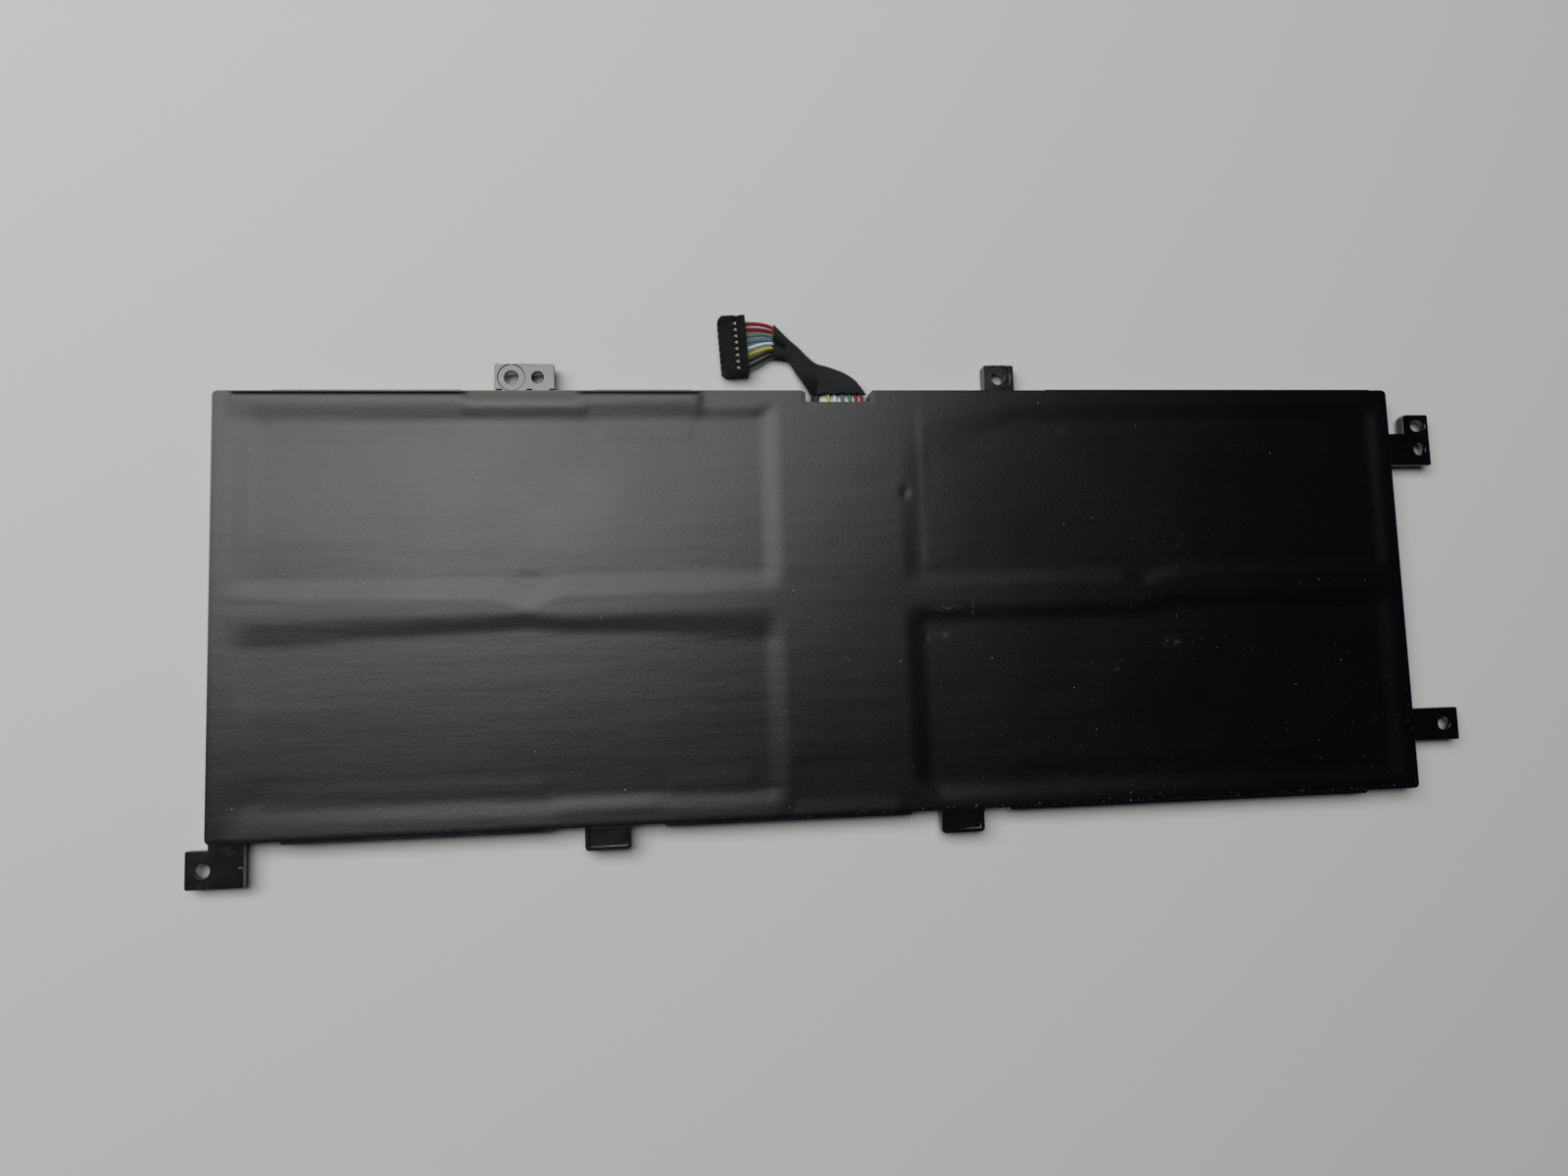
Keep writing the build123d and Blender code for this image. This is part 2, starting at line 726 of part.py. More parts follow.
def cable_sleeve():
    """The cloth sleeve: wide and flat at the pack, narrow along its middle, open at both ends."""
    return sleeve_skin(0) - sleeve_skin(sleeve_wall)


def build():
    """Every piece of the battery, by name."""
    pieces = {
        "frame": frame(),
        "top_film": top_film(),
        "bottom_film": bottom_film(),
        "cell_upper_left": cell(-1, 1),
        "cell_lower_left": cell(-1, -1),
        "cell_upper_right": cell(1, 1),
        "cell_lower_right": cell(1, -1),
        "aluminium_tabs": cell_tabs(0),
        "nickel_tabs": cell_tabs(1),
        "tab_tapes": tab_tapes(),
        "cell_tapes": cell_tapes(),
        "circuit_board": circuit_board(),
        "weld_plates": weld_plates(),
        "wire_pads": wire_pads(),
        "gauge_chip": gauge_chip(),
        "switch_transistors": group(
            block_on_board(side * switch_pitch / 2, switch_y, switch_size, switch_size, switch_height)
            for side in (-1, 1)),
        "chemical_fuse": block_on_board(0, fuse_y, fuse_length, fuse_width, fuse_height),
        "sense_resistor": block_on_board(0, resistor_y, resistor_length, resistor_width, resistor_height),
        "capacitors": capacitors(),
        "thermistor": thermistor(),
        "board_cover_sheet": board_cover_sheet(),
        "lead_tape": lead_tape(),
        "cable_sleeve": cable_sleeve(),
        "plug_housing": plug_housing(),
        "plug_contacts": plug_contacts(),
    }
    for number, name in enumerate(wire_names):
        pieces[f"wire_{name}"] = wire(number)
    return pieces


os.makedirs("parts", exist_ok=True)
for name, piece in build().items():
    export_step(piece, f"parts/{name}.step")
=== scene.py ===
"""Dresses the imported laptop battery: sunk film, moulded frame, sleeved lead and plug, on a studio floor."""

import logging
import math
from dataclasses import dataclass, field
from enum import Enum
from typing import Sequence

import bmesh
import bpy
import numpy as np
from mathutils import Matrix, Vector


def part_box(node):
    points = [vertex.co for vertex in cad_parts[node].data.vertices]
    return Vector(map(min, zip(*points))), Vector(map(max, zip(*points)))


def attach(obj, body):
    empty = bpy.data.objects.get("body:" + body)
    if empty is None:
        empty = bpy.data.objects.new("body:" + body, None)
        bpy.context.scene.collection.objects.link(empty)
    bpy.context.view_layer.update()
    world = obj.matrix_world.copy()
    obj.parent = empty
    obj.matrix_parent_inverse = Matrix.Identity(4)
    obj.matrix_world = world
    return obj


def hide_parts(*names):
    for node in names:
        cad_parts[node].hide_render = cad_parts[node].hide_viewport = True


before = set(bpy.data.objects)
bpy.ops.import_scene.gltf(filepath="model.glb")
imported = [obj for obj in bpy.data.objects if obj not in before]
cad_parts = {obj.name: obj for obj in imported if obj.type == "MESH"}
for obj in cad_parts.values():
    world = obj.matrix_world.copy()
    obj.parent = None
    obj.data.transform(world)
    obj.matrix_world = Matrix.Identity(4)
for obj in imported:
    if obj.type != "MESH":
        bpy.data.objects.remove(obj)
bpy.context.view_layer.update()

log = logging.getLogger("laptop_battery")

MM = 0.001
BODY = "root"
FLAT_ANGLE = math.radians(1.5)
SMOOTH_ANGLE = math.radians(40)
MERGE_DISTANCE = 0.002 * MM
CLOUD_RANGE = (0.3, 0.7)

Colour = tuple[float, float, float]
Point = tuple[float, float, float]


def rgba(colour: Colour) -> tuple[float, float, float, float]:
    """A colour with full alpha, as the colour sockets take it."""
    return (*colour, 1.0)


def shaded(colour: Colour, share: float) -> tuple[float, float, float, float]:
    """A colour made darker or lighter by a share, with full alpha."""
    return rgba(tuple(channel * share for channel in colour))


def smoothstep(value: np.ndarray) -> np.ndarray:
    """A soft step from 0 to 1 as the value goes from 0 to 1."""
    held = np.clip(value, 0.0, 1.0)
    return held * held * (3.0 - 2.0 * held)


def bell(value: np.ndarray) -> np.ndarray:
    """A soft hump of height 1 at 0 that fades out by about 2."""
    return np.exp(-value * value)


class NodeGraph:
    """A node tree that is put together by short calls."""

    def __init__(self, tree: bpy.types.NodeTree) -> None:
        """Keeps the tree that the nodes go into."""
        self.tree = tree

    def add(self, kind: str, inputs: dict | None = None, **settings: object) -> bpy.types.Node:
        """Adds one node.

        Args:
            kind: The node's type name.
            inputs: Values or sockets for its inputs, by name or number.
            settings: Properties of the node itself.

        Returns:
            The new node.
        """
        node = self.tree.nodes.new(kind)
        for name, value in settings.items():
            setattr(node, name, value)
        for key, value in (inputs or {}).items():
            self.feed(node.inputs[key], value)
        return node

    def feed(self, socket: bpy.types.NodeSocket, value: object) -> None:
        """Links a socket to an input, or sets the input's own value."""
        if isinstance(value, bpy.types.NodeSocket):
            self.tree.links.new(value, socket)
        else:
            socket.default_value = value

    def math(self, operation: str, first: object, second: object = 0.0) -> bpy.types.NodeSocket:
        """One sum of two values."""
        return self.add("ShaderNodeMath", {0: first, 1: second}, operation=operation).outputs[0]

    def span(self, value: object, low: float, high: float, to_low: float = 0.0,
             to_high: float = 1.0) -> bpy.types.NodeSocket:
        """Maps a value from one range onto another, held at its ends."""
        return self.add("ShaderNodeMapRange", {
            "Value": value, "From Min": low, "From Max": high, "To Min": to_low, "To Max": to_high,
        }).outputs["Result"]

    def mix(self, factor: object, first: object, second: object) -> bpy.types.NodeSocket:
        """A colour between two colours."""
        node = self.add("ShaderNodeMix", {0: factor, 6: first, 7: second}, data_type="RGBA")
        return node.outputs[2]

    def noise(self, place: object, scale: object, detail: float = 2.0,
              rough: float = 0.5) -> bpy.types.NodeSocket:
        """A cloudy value from 0 to 1."""
        return self.add("ShaderNodeTexNoise", {
            "Vector": place, "Scale": scale, "Detail": detail, "Roughness": rough,
        }).outputs["Fac"]

    def place(self, stretch: Point = (1.0, 1.0, 1.0)) -> bpy.types.NodeSocket:
        """The point on the piece, in its own frame, stretched along its axes."""
        spot = self.add("ShaderNodeTexCoord").outputs["Object"]
        return self.add("ShaderNodeMapping", {"Vector": spot, "Scale": stretch}).outputs["Vector"]


def shared_group(name: str, inputs: dict[str, float], outputs: Sequence[str]) -> tuple[NodeGraph, dict, dict]:
    """Starts a shader group with plain number sockets.

    Args:
        name: The group's name.
        inputs: The inputs and their first values.
        outputs: The names of its outputs.

    Returns:
        The graph to build in, its input sockets by name, and the inputs of its output node by name.
    """
    tree = bpy.data.node_groups.new(name, "ShaderNodeTree")
    for label, value in inputs.items():
        socket = tree.interface.new_socket(name=label, in_out="INPUT", socket_type="NodeSocketFloat")
        socket.default_value = value
    for label in outputs:
        tree.interface.new_socket(name=label, in_out="OUTPUT", socket_type="NodeSocketFloat")
    graph = NodeGraph(tree)
    entry = graph.add("NodeGroupInput")
    leave = graph.add("NodeGroupOutput")
    given = {label: entry.outputs[label] for label in inputs}
    results = {label: leave.inputs[label] for label in outputs}
    return graph, given, results


class SharedEffects:
    """The shader groups that several finishes use."""

    def __init__(self) -> None:
        """Builds each group once."""
        self.grain = self._grain()
        self.dust = self._dust()
        self.scuffs = self._scuffs()

    @staticmethod
    def _grain() -> bpy.types.NodeTree:
        """Fine moulded or rolled grain, with a slow change of tone over it."""
        graph, given, out = shared_group(
            "fine_grain", {"Fine Scale": 3000.0, "Tone Scale": 60.0}, ["Height", "Tone"])
        spot = graph.place()
        graph.feed(out["Height"], graph.noise(spot, given["Fine Scale"], 3.0, 0.55))
        graph.feed(out["Tone"], graph.noise(spot, given["Tone Scale"], 3.0, 0.5))
        return graph.tree

    @staticmethod
    def _dust() -> bpy.types.NodeTree:
        """Small separate specks of dust, thicker in some patches than in others."""
        graph, given, out = shared_group(
            "dust_specks", {"Cells": 500.0, "Speck Size": 0.08, "Share": 0.2, "Patch Scale": 25.0}, ["Mask"])
        spot = graph.place()
        cells = graph.add("ShaderNodeTexVoronoi", {"Vector": spot, "Scale": given["Cells"]})
        draw = graph.add("ShaderNodeSeparateColor", {"Color": cells.outputs["Color"]})
        patch = graph.span(graph.noise(spot, given["Patch Scale"], 2.0), 0.35, 0.65, 0.15, 1.0)
        chosen = graph.math("LESS_THAN", draw.outputs["Red"], graph.math("MULTIPLY", given["Share"], patch))
        part_of_size = graph.span(draw.outputs["Green"], 0.0, 1.0, 0.4, 1.0)
        reach = graph.math("MULTIPLY", given["Speck Size"], part_of_size)
        ratio = graph.math("DIVIDE", cells.outputs["Distance"], reach)
        graph.feed(out["Mask"], graph.math("MULTIPLY", chosen, graph.span(ratio, 0.7, 1.0, 1.0, 0.0)))
        return graph.tree

    @staticmethod
    def _scuffs() -> bpy.types.NodeTree:
        """Thin broken scratches that run mostly one way."""
        graph, given, out = shared_group("light_scuffs", {"Scale": 90.0, "Amount": 0.5}, ["Mask"])
        along = graph.noise(graph.place((0.12, 1.6, 1.0)), given["Scale"], 4.0, 0.6)
        broken = graph.noise(graph.place(), graph.math("MULTIPLY", given["Scale"], 0.8), 2.0)
        line = graph.span(graph.math("ABSOLUTE", graph.math("SUBTRACT", along, 0.5)), 0.0, 0.012, 1.0, 0.0)
        kept = graph.span(broken, 0.52, 0.62)
        graph.feed(out["Mask"], graph.math("MULTIPLY", graph.math("MULTIPLY", line, kept), given["Amount"]))
        return graph.tree


class Finish:
    """A material with one Principled shader, made by a subclass."""

    name: str

    def start(self, colour: Colour, roughness: float, metallic: float = 0.0, specular: float = 0.5
              ) -> tuple[bpy.types.Material, NodeGraph, bpy.types.Node]:
        """Makes the material with its shader and plain values.

        Args:
            colour: The base colour.
            roughness: The roughness.
            metallic: 1 for bare metal.
            specular: The level of the surface reflection.

        Returns:
            The material, its graph and its shader node.
        """
        material = bpy.data.materials.new(self.name)
        material.use_nodes = True
        graph = NodeGraph(material.node_tree)
        shader = material.node_tree.nodes["Principled BSDF"]
        shader.inputs["Base Color"].default_value = rgba(colour)
        shader.inputs["Roughness"].default_value = roughness
        shader.inputs["Metallic"].default_value = metallic
        shader.inputs["Specular IOR Level"].default_value = specular
        material.diffuse_color = rgba(colour)
        return material, graph, shader

    @staticmethod
    def effect(graph: NodeGraph, tree: bpy.types.NodeTree, **values: float) -> bpy.types.Node:
        """Places a shared group with its own values, given by name with underscores for spaces."""
        node = graph.add("ShaderNodeGroup", node_tree=tree)
        for name, value in values.items():
            node.inputs[name.replace("_", " ").title()].default_value = value
        return node

    @staticmethod
    def bump(graph: NodeGraph, shader: bpy.types.Node, height: bpy.types.NodeSocket, depth: float,
             strength: float = 1.0) -> None:
        """Lets a height shape the surface by up to the given depth in metres."""
        node = graph.add("ShaderNodeBump", {"Height": height, "Distance": depth, "Strength": strength})
        graph.feed(shader.inputs["Normal"], node.outputs["Normal"])

    @staticmethod
    def cloudy(graph: NodeGraph, pattern: bpy.types.NodeSocket, roughness: float, least: float,
               most: float) -> bpy.types.NodeSocket:
        """A roughness that follows a pattern, between two shares of its plain value."""
        return graph.span(pattern, *CLOUD_RANGE, roughness * least, roughness * most)


@dataclass(frozen=True)
class MouldedPlastic(Finish):
    """Smooth black injection-moulded plastic with a soft gloss, faint scuffs and a little dust."""

    name: str
    colour: Colour
    roughness: float
    specular: float = 0.5
    grain_depth: float = 0.004 * MM
    scuff: float = 0.35
    dust: float = 0.05
    dust_colour: Colour = (0.30, 0.30, 0.29)

    def material(self, effects: SharedEffects) -> bpy.types.Material:
        """Builds the material.

        Args:
            effects: The shared shader groups.

        Returns:
            The finished material.
        """
        material, graph, shader = self.start(self.colour, self.roughness, specular=self.specular)
        grain = self.effect(graph, effects.grain, fine_scale=2600.0, tone_scale=180.0)
        scuffs = self.effect(graph, effects.scuffs, scale=260.0, amount=self.scuff)
        specks = self.effect(
            graph, effects.dust, cells=900.0, speck_size=0.13, share=self.dust, patch_scale=90.0)
        worn = graph.mix(scuffs.outputs["Mask"], rgba(self.colour), shaded(self.colour, 1.8))
        dusty = graph.mix(specks.outputs["Mask"], worn, rgba(self.dust_colour))
        graph.feed(shader.inputs["Base Color"], dusty)
        cloudy = self.cloudy(graph, grain.outputs["Tone"], self.roughness, 0.88, 1.15)
        rubbed = graph.math("ADD", cloudy, graph.math("MULTIPLY", scuffs.outputs["Mask"], 0.2))
        graph.feed(shader.inputs["Roughness"], rubbed)
        self.bump(graph, shader, grain.outputs["Height"], self.grain_depth)
        return material


@dataclass(frozen=True)
class MattFilm(Finish):
    """The black covering film: a rolled grain, a soft sheen, dust specks and pale chips at its edges."""

    name: str
    colour: Colour = (0.0004, 0.0007, 0.0020)
    roughness: float = 0.306
    specular: float = 0.47
    grain_depth: float = 0.018 * MM
    streak_depth: float = 0.050 * MM
    dust_colour: Colour = (0.52, 0.53, 0.54)
    chip_colour: Colour = (0.40, 0.40, 0.38)
    edge_attribute: str = "cut_edge"
    scuff_attribute: str = "scuffed"

    def material(self, effects: SharedEffects) -> bpy.types.Material:
        """Builds the material.

        Args:
            effects: The shared shader groups.

        Returns:
            The finished material.
        """
        material, graph, shader = self.start(self.colour, self.roughness, specular=self.specular)
        grain = self.effect(graph, effects.grain, fine_scale=1900.0, tone_scale=45.0)
        fine = self.effect(graph, effects.dust, cells=1500.0, speck_size=0.13, share=0.17, patch_scale=22.0)
        large = self.effect(graph, effects.dust, cells=420.0, speck_size=0.055, share=0.20, patch_scale=12.0)
        faint = graph.math("MULTIPLY", fine.outputs["Mask"], 0.40)
        specks = graph.math("MAXIMUM", faint, large.outputs["Mask"])
        dusty = graph.mix(specks, rgba(self.colour), rgba(self.dust_colour))
        edge = graph.add("ShaderNodeAttribute", attribute_name=self.edge_attribute).outputs["Fac"]
        broken = graph.span(graph.noise(graph.place(), 1300.0, 3.0, 0.7), 0.62, 0.70, 0.0, 0.75)
        chipped = graph.mix(graph.math("MULTIPLY", edge, broken), dusty, rgba(self.chip_colour))
        rubbed = graph.add("ShaderNodeAttribute", attribute_name=self.scuff_attribute).outputs["Fac"]
        patchy = graph.noise(graph.place((0.6, 1.6, 1.0)), 1500.0, 3.0, 0.6)
        ragged = graph.span(patchy, 0.45, 0.70, 0.0, 0.22)
        mark = graph.math("MULTIPLY", rubbed, ragged)
        graph.feed(shader.inputs["Base Color"], graph.mix(mark, chipped, rgba(self.dust_colour)))
        graph.feed(shader.inputs["Roughness"],
                   self.cloudy(graph, grain.outputs["Tone"], self.roughness, 0.96, 1.05))
        streaks = graph.noise(graph.place((0.16, 1.0, 1.0)), 210.0, 2.0, 0.5)
        rolled = graph.math("MULTIPLY", streaks, self.streak_depth / self.grain_depth)
        self.bump(graph, shader, graph.math("ADD", grain.outputs["Height"], rolled), self.grain_depth)
        return material


@dataclass(frozen=True)
class WovenCloth(Finish):
    """The sleeve's black cloth: a fine plain weave, with painted shade in the gaps between its threads and in
    the sleeve's folds.
    """

    name: str
    colour: Colour = (0.023, 0.024, 0.026)
    gap_shade_colour: Colour = (0.0050, 0.0050, 0.0052)
    threads_along: float = 120.0
    threads_across: float = 180.0
    thread_depth: float = 0.035 * MM
    # The point attribute that holds the painted shade in the sleeve's folds.
    fold_shade_attribute: str = "painted_fold_shade"

    def material(self, effects: SharedEffects) -> bpy.types.Material:
        """Builds the material.

        Args:
            effects: The shared shader groups.

        Returns:
            The finished material.
        """
        material, graph, shader = self.start(self.colour, 0.66, specular=0.08)
        shader.inputs["Sheen Weight"].default_value = 0.04
        shader.inputs["Sheen Roughness"].default_value = 0.5
        height = self.weave(graph)
        grain = self.effect(graph, effects.grain, fine_scale=5200.0, tone_scale=320.0)
        # Painted shade: the low parts of the weave, between the threads, are darkened towards the gap shade
        # colour.
        shade = graph.span(height, 0.10, 0.75)
        thread = graph.mix(grain.outputs["Tone"], rgba(self.colour), shaded(self.colour, 1.8))
        cloth = graph.mix(shade, rgba(self.gap_shade_colour), thread)
        # Painted shade: the colour goes to near black in the sleeve's folds, under the overlapping edge and
        # in the hollow at the plug end.
        painted_fold_shade = graph.add("ShaderNodeAttribute", attribute_name=self.fold_shade_attribute).outputs["Fac"]
        graph.feed(shader.inputs["Base Color"], graph.mix(painted_fold_shade, cloth, shaded(self.gap_shade_colour, 0.15)))
        fuzzy = graph.math("ADD", height, graph.math("MULTIPLY", grain.outputs["Height"], 0.5))
        self.bump(graph, shader, fuzzy, self.thread_depth)
        return material

    def weave(self, graph: NodeGraph) -> bpy.types.NodeSocket:
        """The height of the threads on the cloth's own map: those along it over those across it."""
        chart = graph.add("ShaderNodeUVMap", uv_map="cloth").outputs["UV"]
        axes = graph.add("ShaderNodeSeparateXYZ", {"Vector": chart})
        turns = graph.math("MULTIPLY", axes.outputs["X"], self.threads_across * math.pi)
        steps = graph.math("MULTIPLY", axes.outputs["Y"], self.threads_along * math.pi)
        warp = graph.math("ABSOLUTE", graph.math("SINE", turns))
        weft = graph.math("ABSOLUTE", graph.math("SINE", steps))
        over = graph.math("MULTIPLY", graph.math("COSINE", turns), graph.math("COSINE", steps))
        pick = graph.span(over, -0.25, 0.25)
        upper = graph.math("MULTIPLY", warp, pick)
        lower = graph.math("MULTIPLY", weft, graph.math("SUBTRACT", 1.0, pick))
        return graph.math("ADD", upper, lower)


@dataclass(frozen=True)
class WireSkin(Finish):
    """Smooth extruded wire insulation, a little cloudy along its length."""

    name: str
    colour: Colour
    roughness: float = 0.42
    specular: float = 0.28

    def material(self, effects: SharedEffects) -> bpy.types.Material:
        """Builds the material.

        Args:
            effects: The shared shader groups.

        Returns:
            The finished material.
        """
        material, graph, shader = self.start(self.colour, self.roughness, specular=self.specular)
        grain = self.effect(graph, effects.grain, fine_scale=4200.0, tone_scale=420.0)
        tone = graph.span(grain.outputs["Tone"], *CLOUD_RANGE)
        graph.feed(shader.inputs["Base Color"],
                   graph.mix(tone, shaded(self.colour, 0.72), rgba(self.colour)))
        graph.feed(shader.inputs["Roughness"],
                   self.cloudy(graph, grain.outputs["Tone"], self.roughness, 0.85, 1.2))
        self.bump(graph, shader, grain.outputs["Height"], 0.006 * MM)
        return material


@dataclass(frozen=True)
class ThinMetal(Finish):
    """Bare sheet metal with fine rolling lines."""

    name: str
    colour: Colour
    roughness: float = 0.30

    def material(self, effects: SharedEffects) -> bpy.types.Material:
        """Builds the material.

        Args:
            effects: The shared shader groups.

        Returns:
            The finished material.
        """
        material, graph, shader = self.start(self.colour, self.roughness, metallic=1.0)
        grain = self.effect(graph, effects.grain, fine_scale=3000.0, tone_scale=260.0)
        lines = graph.noise(graph.place((0.06, 1.0, 1.0)), 5200.0, 2.0)
        graph.feed(shader.inputs["Base Color"],
                   graph.mix(grain.outputs["Tone"], shaded(self.colour, 0.8), rgba(self.colour)))
        graph.feed(shader.inputs["Roughness"], self.cloudy(graph, lines, self.roughness, 0.75, 1.3))
        self.bump(graph, shader, lines, 0.003 * MM)
        return material


@dataclass(frozen=True)
class PlainSheet(Finish):
    """Tape, paper, board or a moulded component: a plain colour with its own fine grain."""

    name: str
    colour: Colour
    roughness: float = 0.55
    fine_scale: float = 2400.0

    def material(self, effects: SharedEffects) -> bpy.types.Material:
        """Builds the material.

        Args:
            effects: The shared shader groups.

        Returns:
            The finished material.
        """
        material, graph, shader = self.start(self.colour, self.roughness)
        grain = self.effect(graph, effects.grain, fine_scale=self.fine_scale, tone_scale=120.0)
        graph.feed(shader.inputs["Base Color"],
                   graph.mix(grain.outputs["Tone"], shaded(self.colour, 0.8), rgba(self.colour)))
        graph.feed(shader.inputs["Roughness"],
                   self.cloudy(graph, grain.outputs["Tone"], self.roughness, 0.9, 1.1))
        self.bump(graph, shader, grain.outputs["Height"], 0.01 * MM)
        return material


class WireColour(Enum):
    """The insulation colours of the lead."""

    BLACK = (0.004, 0.004, 0.0045)
    YELLOW = (0.57, 0.53, 0.05)
    WHITE = (0.72, 0.74, 0.74)
    BLUE = (0.075, 0.21, 0.36)
    GREEN = (0.10, 0.26, 0.17)
    RED = (0.27, 0.006, 0.014)


def add_piece(name: str, mesh: bpy.types.Mesh, material: bpy.types.Material,
              replaced: Sequence[str] = ()) -> bpy.types.Object:
    """Puts a finished mesh into the scene as a piece of the battery.

    Args:
        name: The piece's name.
        mesh: Its mesh, in the shared frame.
        material: Its material.
        replaced: The solids that it stands for.

    Returns:
        The new object.
    """
    mesh.materials.clear()
    mesh.materials.append(material)
    piece = bpy.data.objects.new(name, mesh)
    bpy.context.scene.collection.objects.link(piece)
    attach(piece, BODY)
    if replaced:
        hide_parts(*replaced)
    log.info("%s: %d faces", name, len(mesh.polygons))
    return piece


def mark_points(mesh: bpy.types.Mesh, name: str, values: np.ndarray) -> None:
    """Stores one value for each point of a mesh."""
    attribute = mesh.attributes.new(name, "FLOAT", "POINT")
    attribute.data.foreach_set("value", values.astype(np.float32))


def turn_faces_outwards(mesh: bpy.types.Mesh) -> None:
    """Turns the faces of a closed mesh so that all of them look outwards."""
    work = bmesh.new()
    work.from_mesh(mesh)
    bmesh.ops.recalc_face_normals(work, faces=work.faces)
    work.to_mesh(mesh)
    work.free()


def facing(face: bmesh.types.BMFace) -> Point:
    """The direction that a face looks in, rounded so that equal directions compare as equal."""
    return tuple(round(axis, 2) + 0.0 for axis in face.normal)


def softened_copy(node: str, edge: float) -> bpy.types.Mesh:
    """A copy of a solid's mesh with its flat faces kept flat and its sharp edges rounded off.

    Args:
        node: The solid's name.
        edge: The width of the rounding.

    Returns:
        The new mesh.
    """
    work = bmesh.new()
    work.from_mesh(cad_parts[node].data)
    bmesh.ops.remove_doubles(work, verts=work.verts, dist=MERGE_DISTANCE)
    turned = {e: e.calc_face_angle(0.0) for e in work.edges if e.is_manifold}
    flat = {facing(face) for face in work.faces
            if not any(FLAT_ANGLE < turned.get(e, 0.0) < SMOOTH_ANGLE for e in face.edges)}
    sharp = [e for e, angle in turned.items() if angle > SMOOTH_ANGLE]
    bmesh.ops.bevel(
        work, geom=sharp, offset=edge, segments=2, profile=0.6, affect="EDGES", clamp_overlap=False)
    for face in work.faces:
        face.normal_update()
    curved = [facing(face) not in flat for face in work.faces]
    mesh = bpy.data.meshes.new(node)
    work.to_mesh(mesh)
    work.free()
    mesh.set_sharp_from_angle(angle=SMOOTH_ANGLE)
    mesh.polygons.foreach_set("use_smooth", curved)
    return mesh


class ScatterForm(Enum):
    """What a scatter sets on its points."""

    THREAD = "thread"
    FLAKE = "flake"


@dataclass
class PointScatter:
    """Small loose things set on given points by a Geometry Nodes tree, then kept as a plain mesh."""

    name: str
    form: ScatterForm
    points: np.ndarray
    directions: np.ndarray
    chances: np.ndarray
    material: bpy.types.Material
    shortest: float = 0.25 * MM
    longest: float = 0.9 * MM
    thickness: float = 0.035 * MM
    spread: float = 0.55
    seed: int = 7

    def mesh(self) -> bpy.types.Mesh:
        """Runs the tree over the points.

        Returns:
            The scattered pieces as one plain mesh.
        """
        roots = bpy.data.meshes.new(f"{self.name}_roots")
        roots.from_pydata(self.points.tolist(), [], [])
        heading = roots.attributes.new("heading", "FLOAT_VECTOR", "POINT")
        heading.data.foreach_set("vector", self.directions.astype(np.float32).ravel())
        chance = roots.attributes.new("chance", "FLOAT", "POINT")
        chance.data.foreach_set("value", self.chances.astype(np.float32))
        carrier = bpy.data.objects.new(f"{self.name}_roots", roots)
        bpy.context.scene.collection.objects.link(carrier)
        modifier = carrier.modifiers.new("scatter", "NODES")
        modifier.node_group = self.tree()
        values = {"Shortest": self.shortest, "Longest": self.longest, "Thickness": self.thickness,
                  "Spread": self.spread, "Seed": self.seed, "Material": self.material}
        for item in modifier.node_group.interface.items_tree:
            if item.in_out == "INPUT" and item.name in values:
                modifier[item.identifier] = values[item.name]
        graph = bpy.context.evaluated_depsgraph_get()
        result = bpy.data.meshes.new_from_object(carrier.evaluated_get(graph))
        result.name = self.name
        carrier.modifiers.remove(modifier)
        bpy.data.objects.remove(carrier)
        bpy.data.meshes.remove(roots)
        return result

    def tree(self) -> bpy.types.NodeTree:
        """The tree: pick points by chance, set a form on each, turn and size it, and join them all."""
        tree = bpy.data.node_groups.new(self.name, "GeometryNodeTree")
        tree.interface.new_socket(name="Geometry", in_out="INPUT", socket_type="NodeSocketGeometry")
        for label in ("Shortest", "Longest", "Thickness", "Spread"):
            tree.interface.new_socket(name=label, in_out="INPUT", socket_type="NodeSocketFloat")
        tree.interface.new_socket(name="Seed", in_out="INPUT", socket_type="NodeSocketInt")
        tree.interface.new_socket(name="Material", in_out="INPUT", socket_type="NodeSocketMaterial")
        tree.interface.new_socket(name="Geometry", in_out="OUTPUT", socket_type="NodeSocketGeometry")
        graph = NodeGraph(tree)
        given = graph.add("NodeGroupInput").outputs
        points = graph.add("GeometryNodeMeshToPoints", {"Mesh": given["Geometry"]})
        chance = graph.add("GeometryNodeInputNamedAttribute", {"Name": "chance"}, data_type="FLOAT")
        draw = graph.add("FunctionNodeRandomValue", {"Seed": given["Seed"]}, data_type="FLOAT")
        chosen = graph.add("FunctionNodeCompare", {
            0: draw.outputs[1], 1: chance.outputs[0]}, operation="LESS_THAN")
        heading = graph.add("GeometryNodeInputNamedAttribute", {"Name": "heading"}, data_type="FLOAT_VECTOR")
        shake = graph.add("FunctionNodeRandomValue", {
            0: (-1.0, -1.0, -1.0), 1: (1.0, 1.0, 1.0), "Seed": given["Seed"]}, data_type="FLOAT_VECTOR")
        swing = graph.add("ShaderNodeVectorMath", {
            0: shake.outputs[0], "Scale": given["Spread"]}, operation="SCALE")
        lean = graph.add("ShaderNodeVectorMath", {
            0: heading.outputs[0], 1: swing.outputs[0]}, operation="ADD")
        turn = graph.add("FunctionNodeAlignRotationToVector", {"Vector": lean.outputs[0]}, axis="Z")
        size = graph.add("FunctionNodeRandomValue", {
            2: given["Shortest"], 3: given["Longest"], "Seed": given["Seed"]}, data_type="FLOAT")
        placed = graph.add("GeometryNodeInstanceOnPoints", {
            "Points": points.outputs["Points"], "Selection": chosen.outputs[0],
            "Instance": self.shape(graph, given), "Rotation": turn.outputs["Rotation"],
            "Scale": size.outputs[1]})
        joined = graph.add("GeometryNodeRealizeInstances", {"Geometry": placed.outputs["Instances"]})
        dressed = graph.add("GeometryNodeSetMaterial", {
            "Geometry": joined.outputs["Geometry"], "Material": given["Material"]})
        graph.add("NodeGroupOutput", {"Geometry": dressed.outputs["Geometry"]})
        return tree

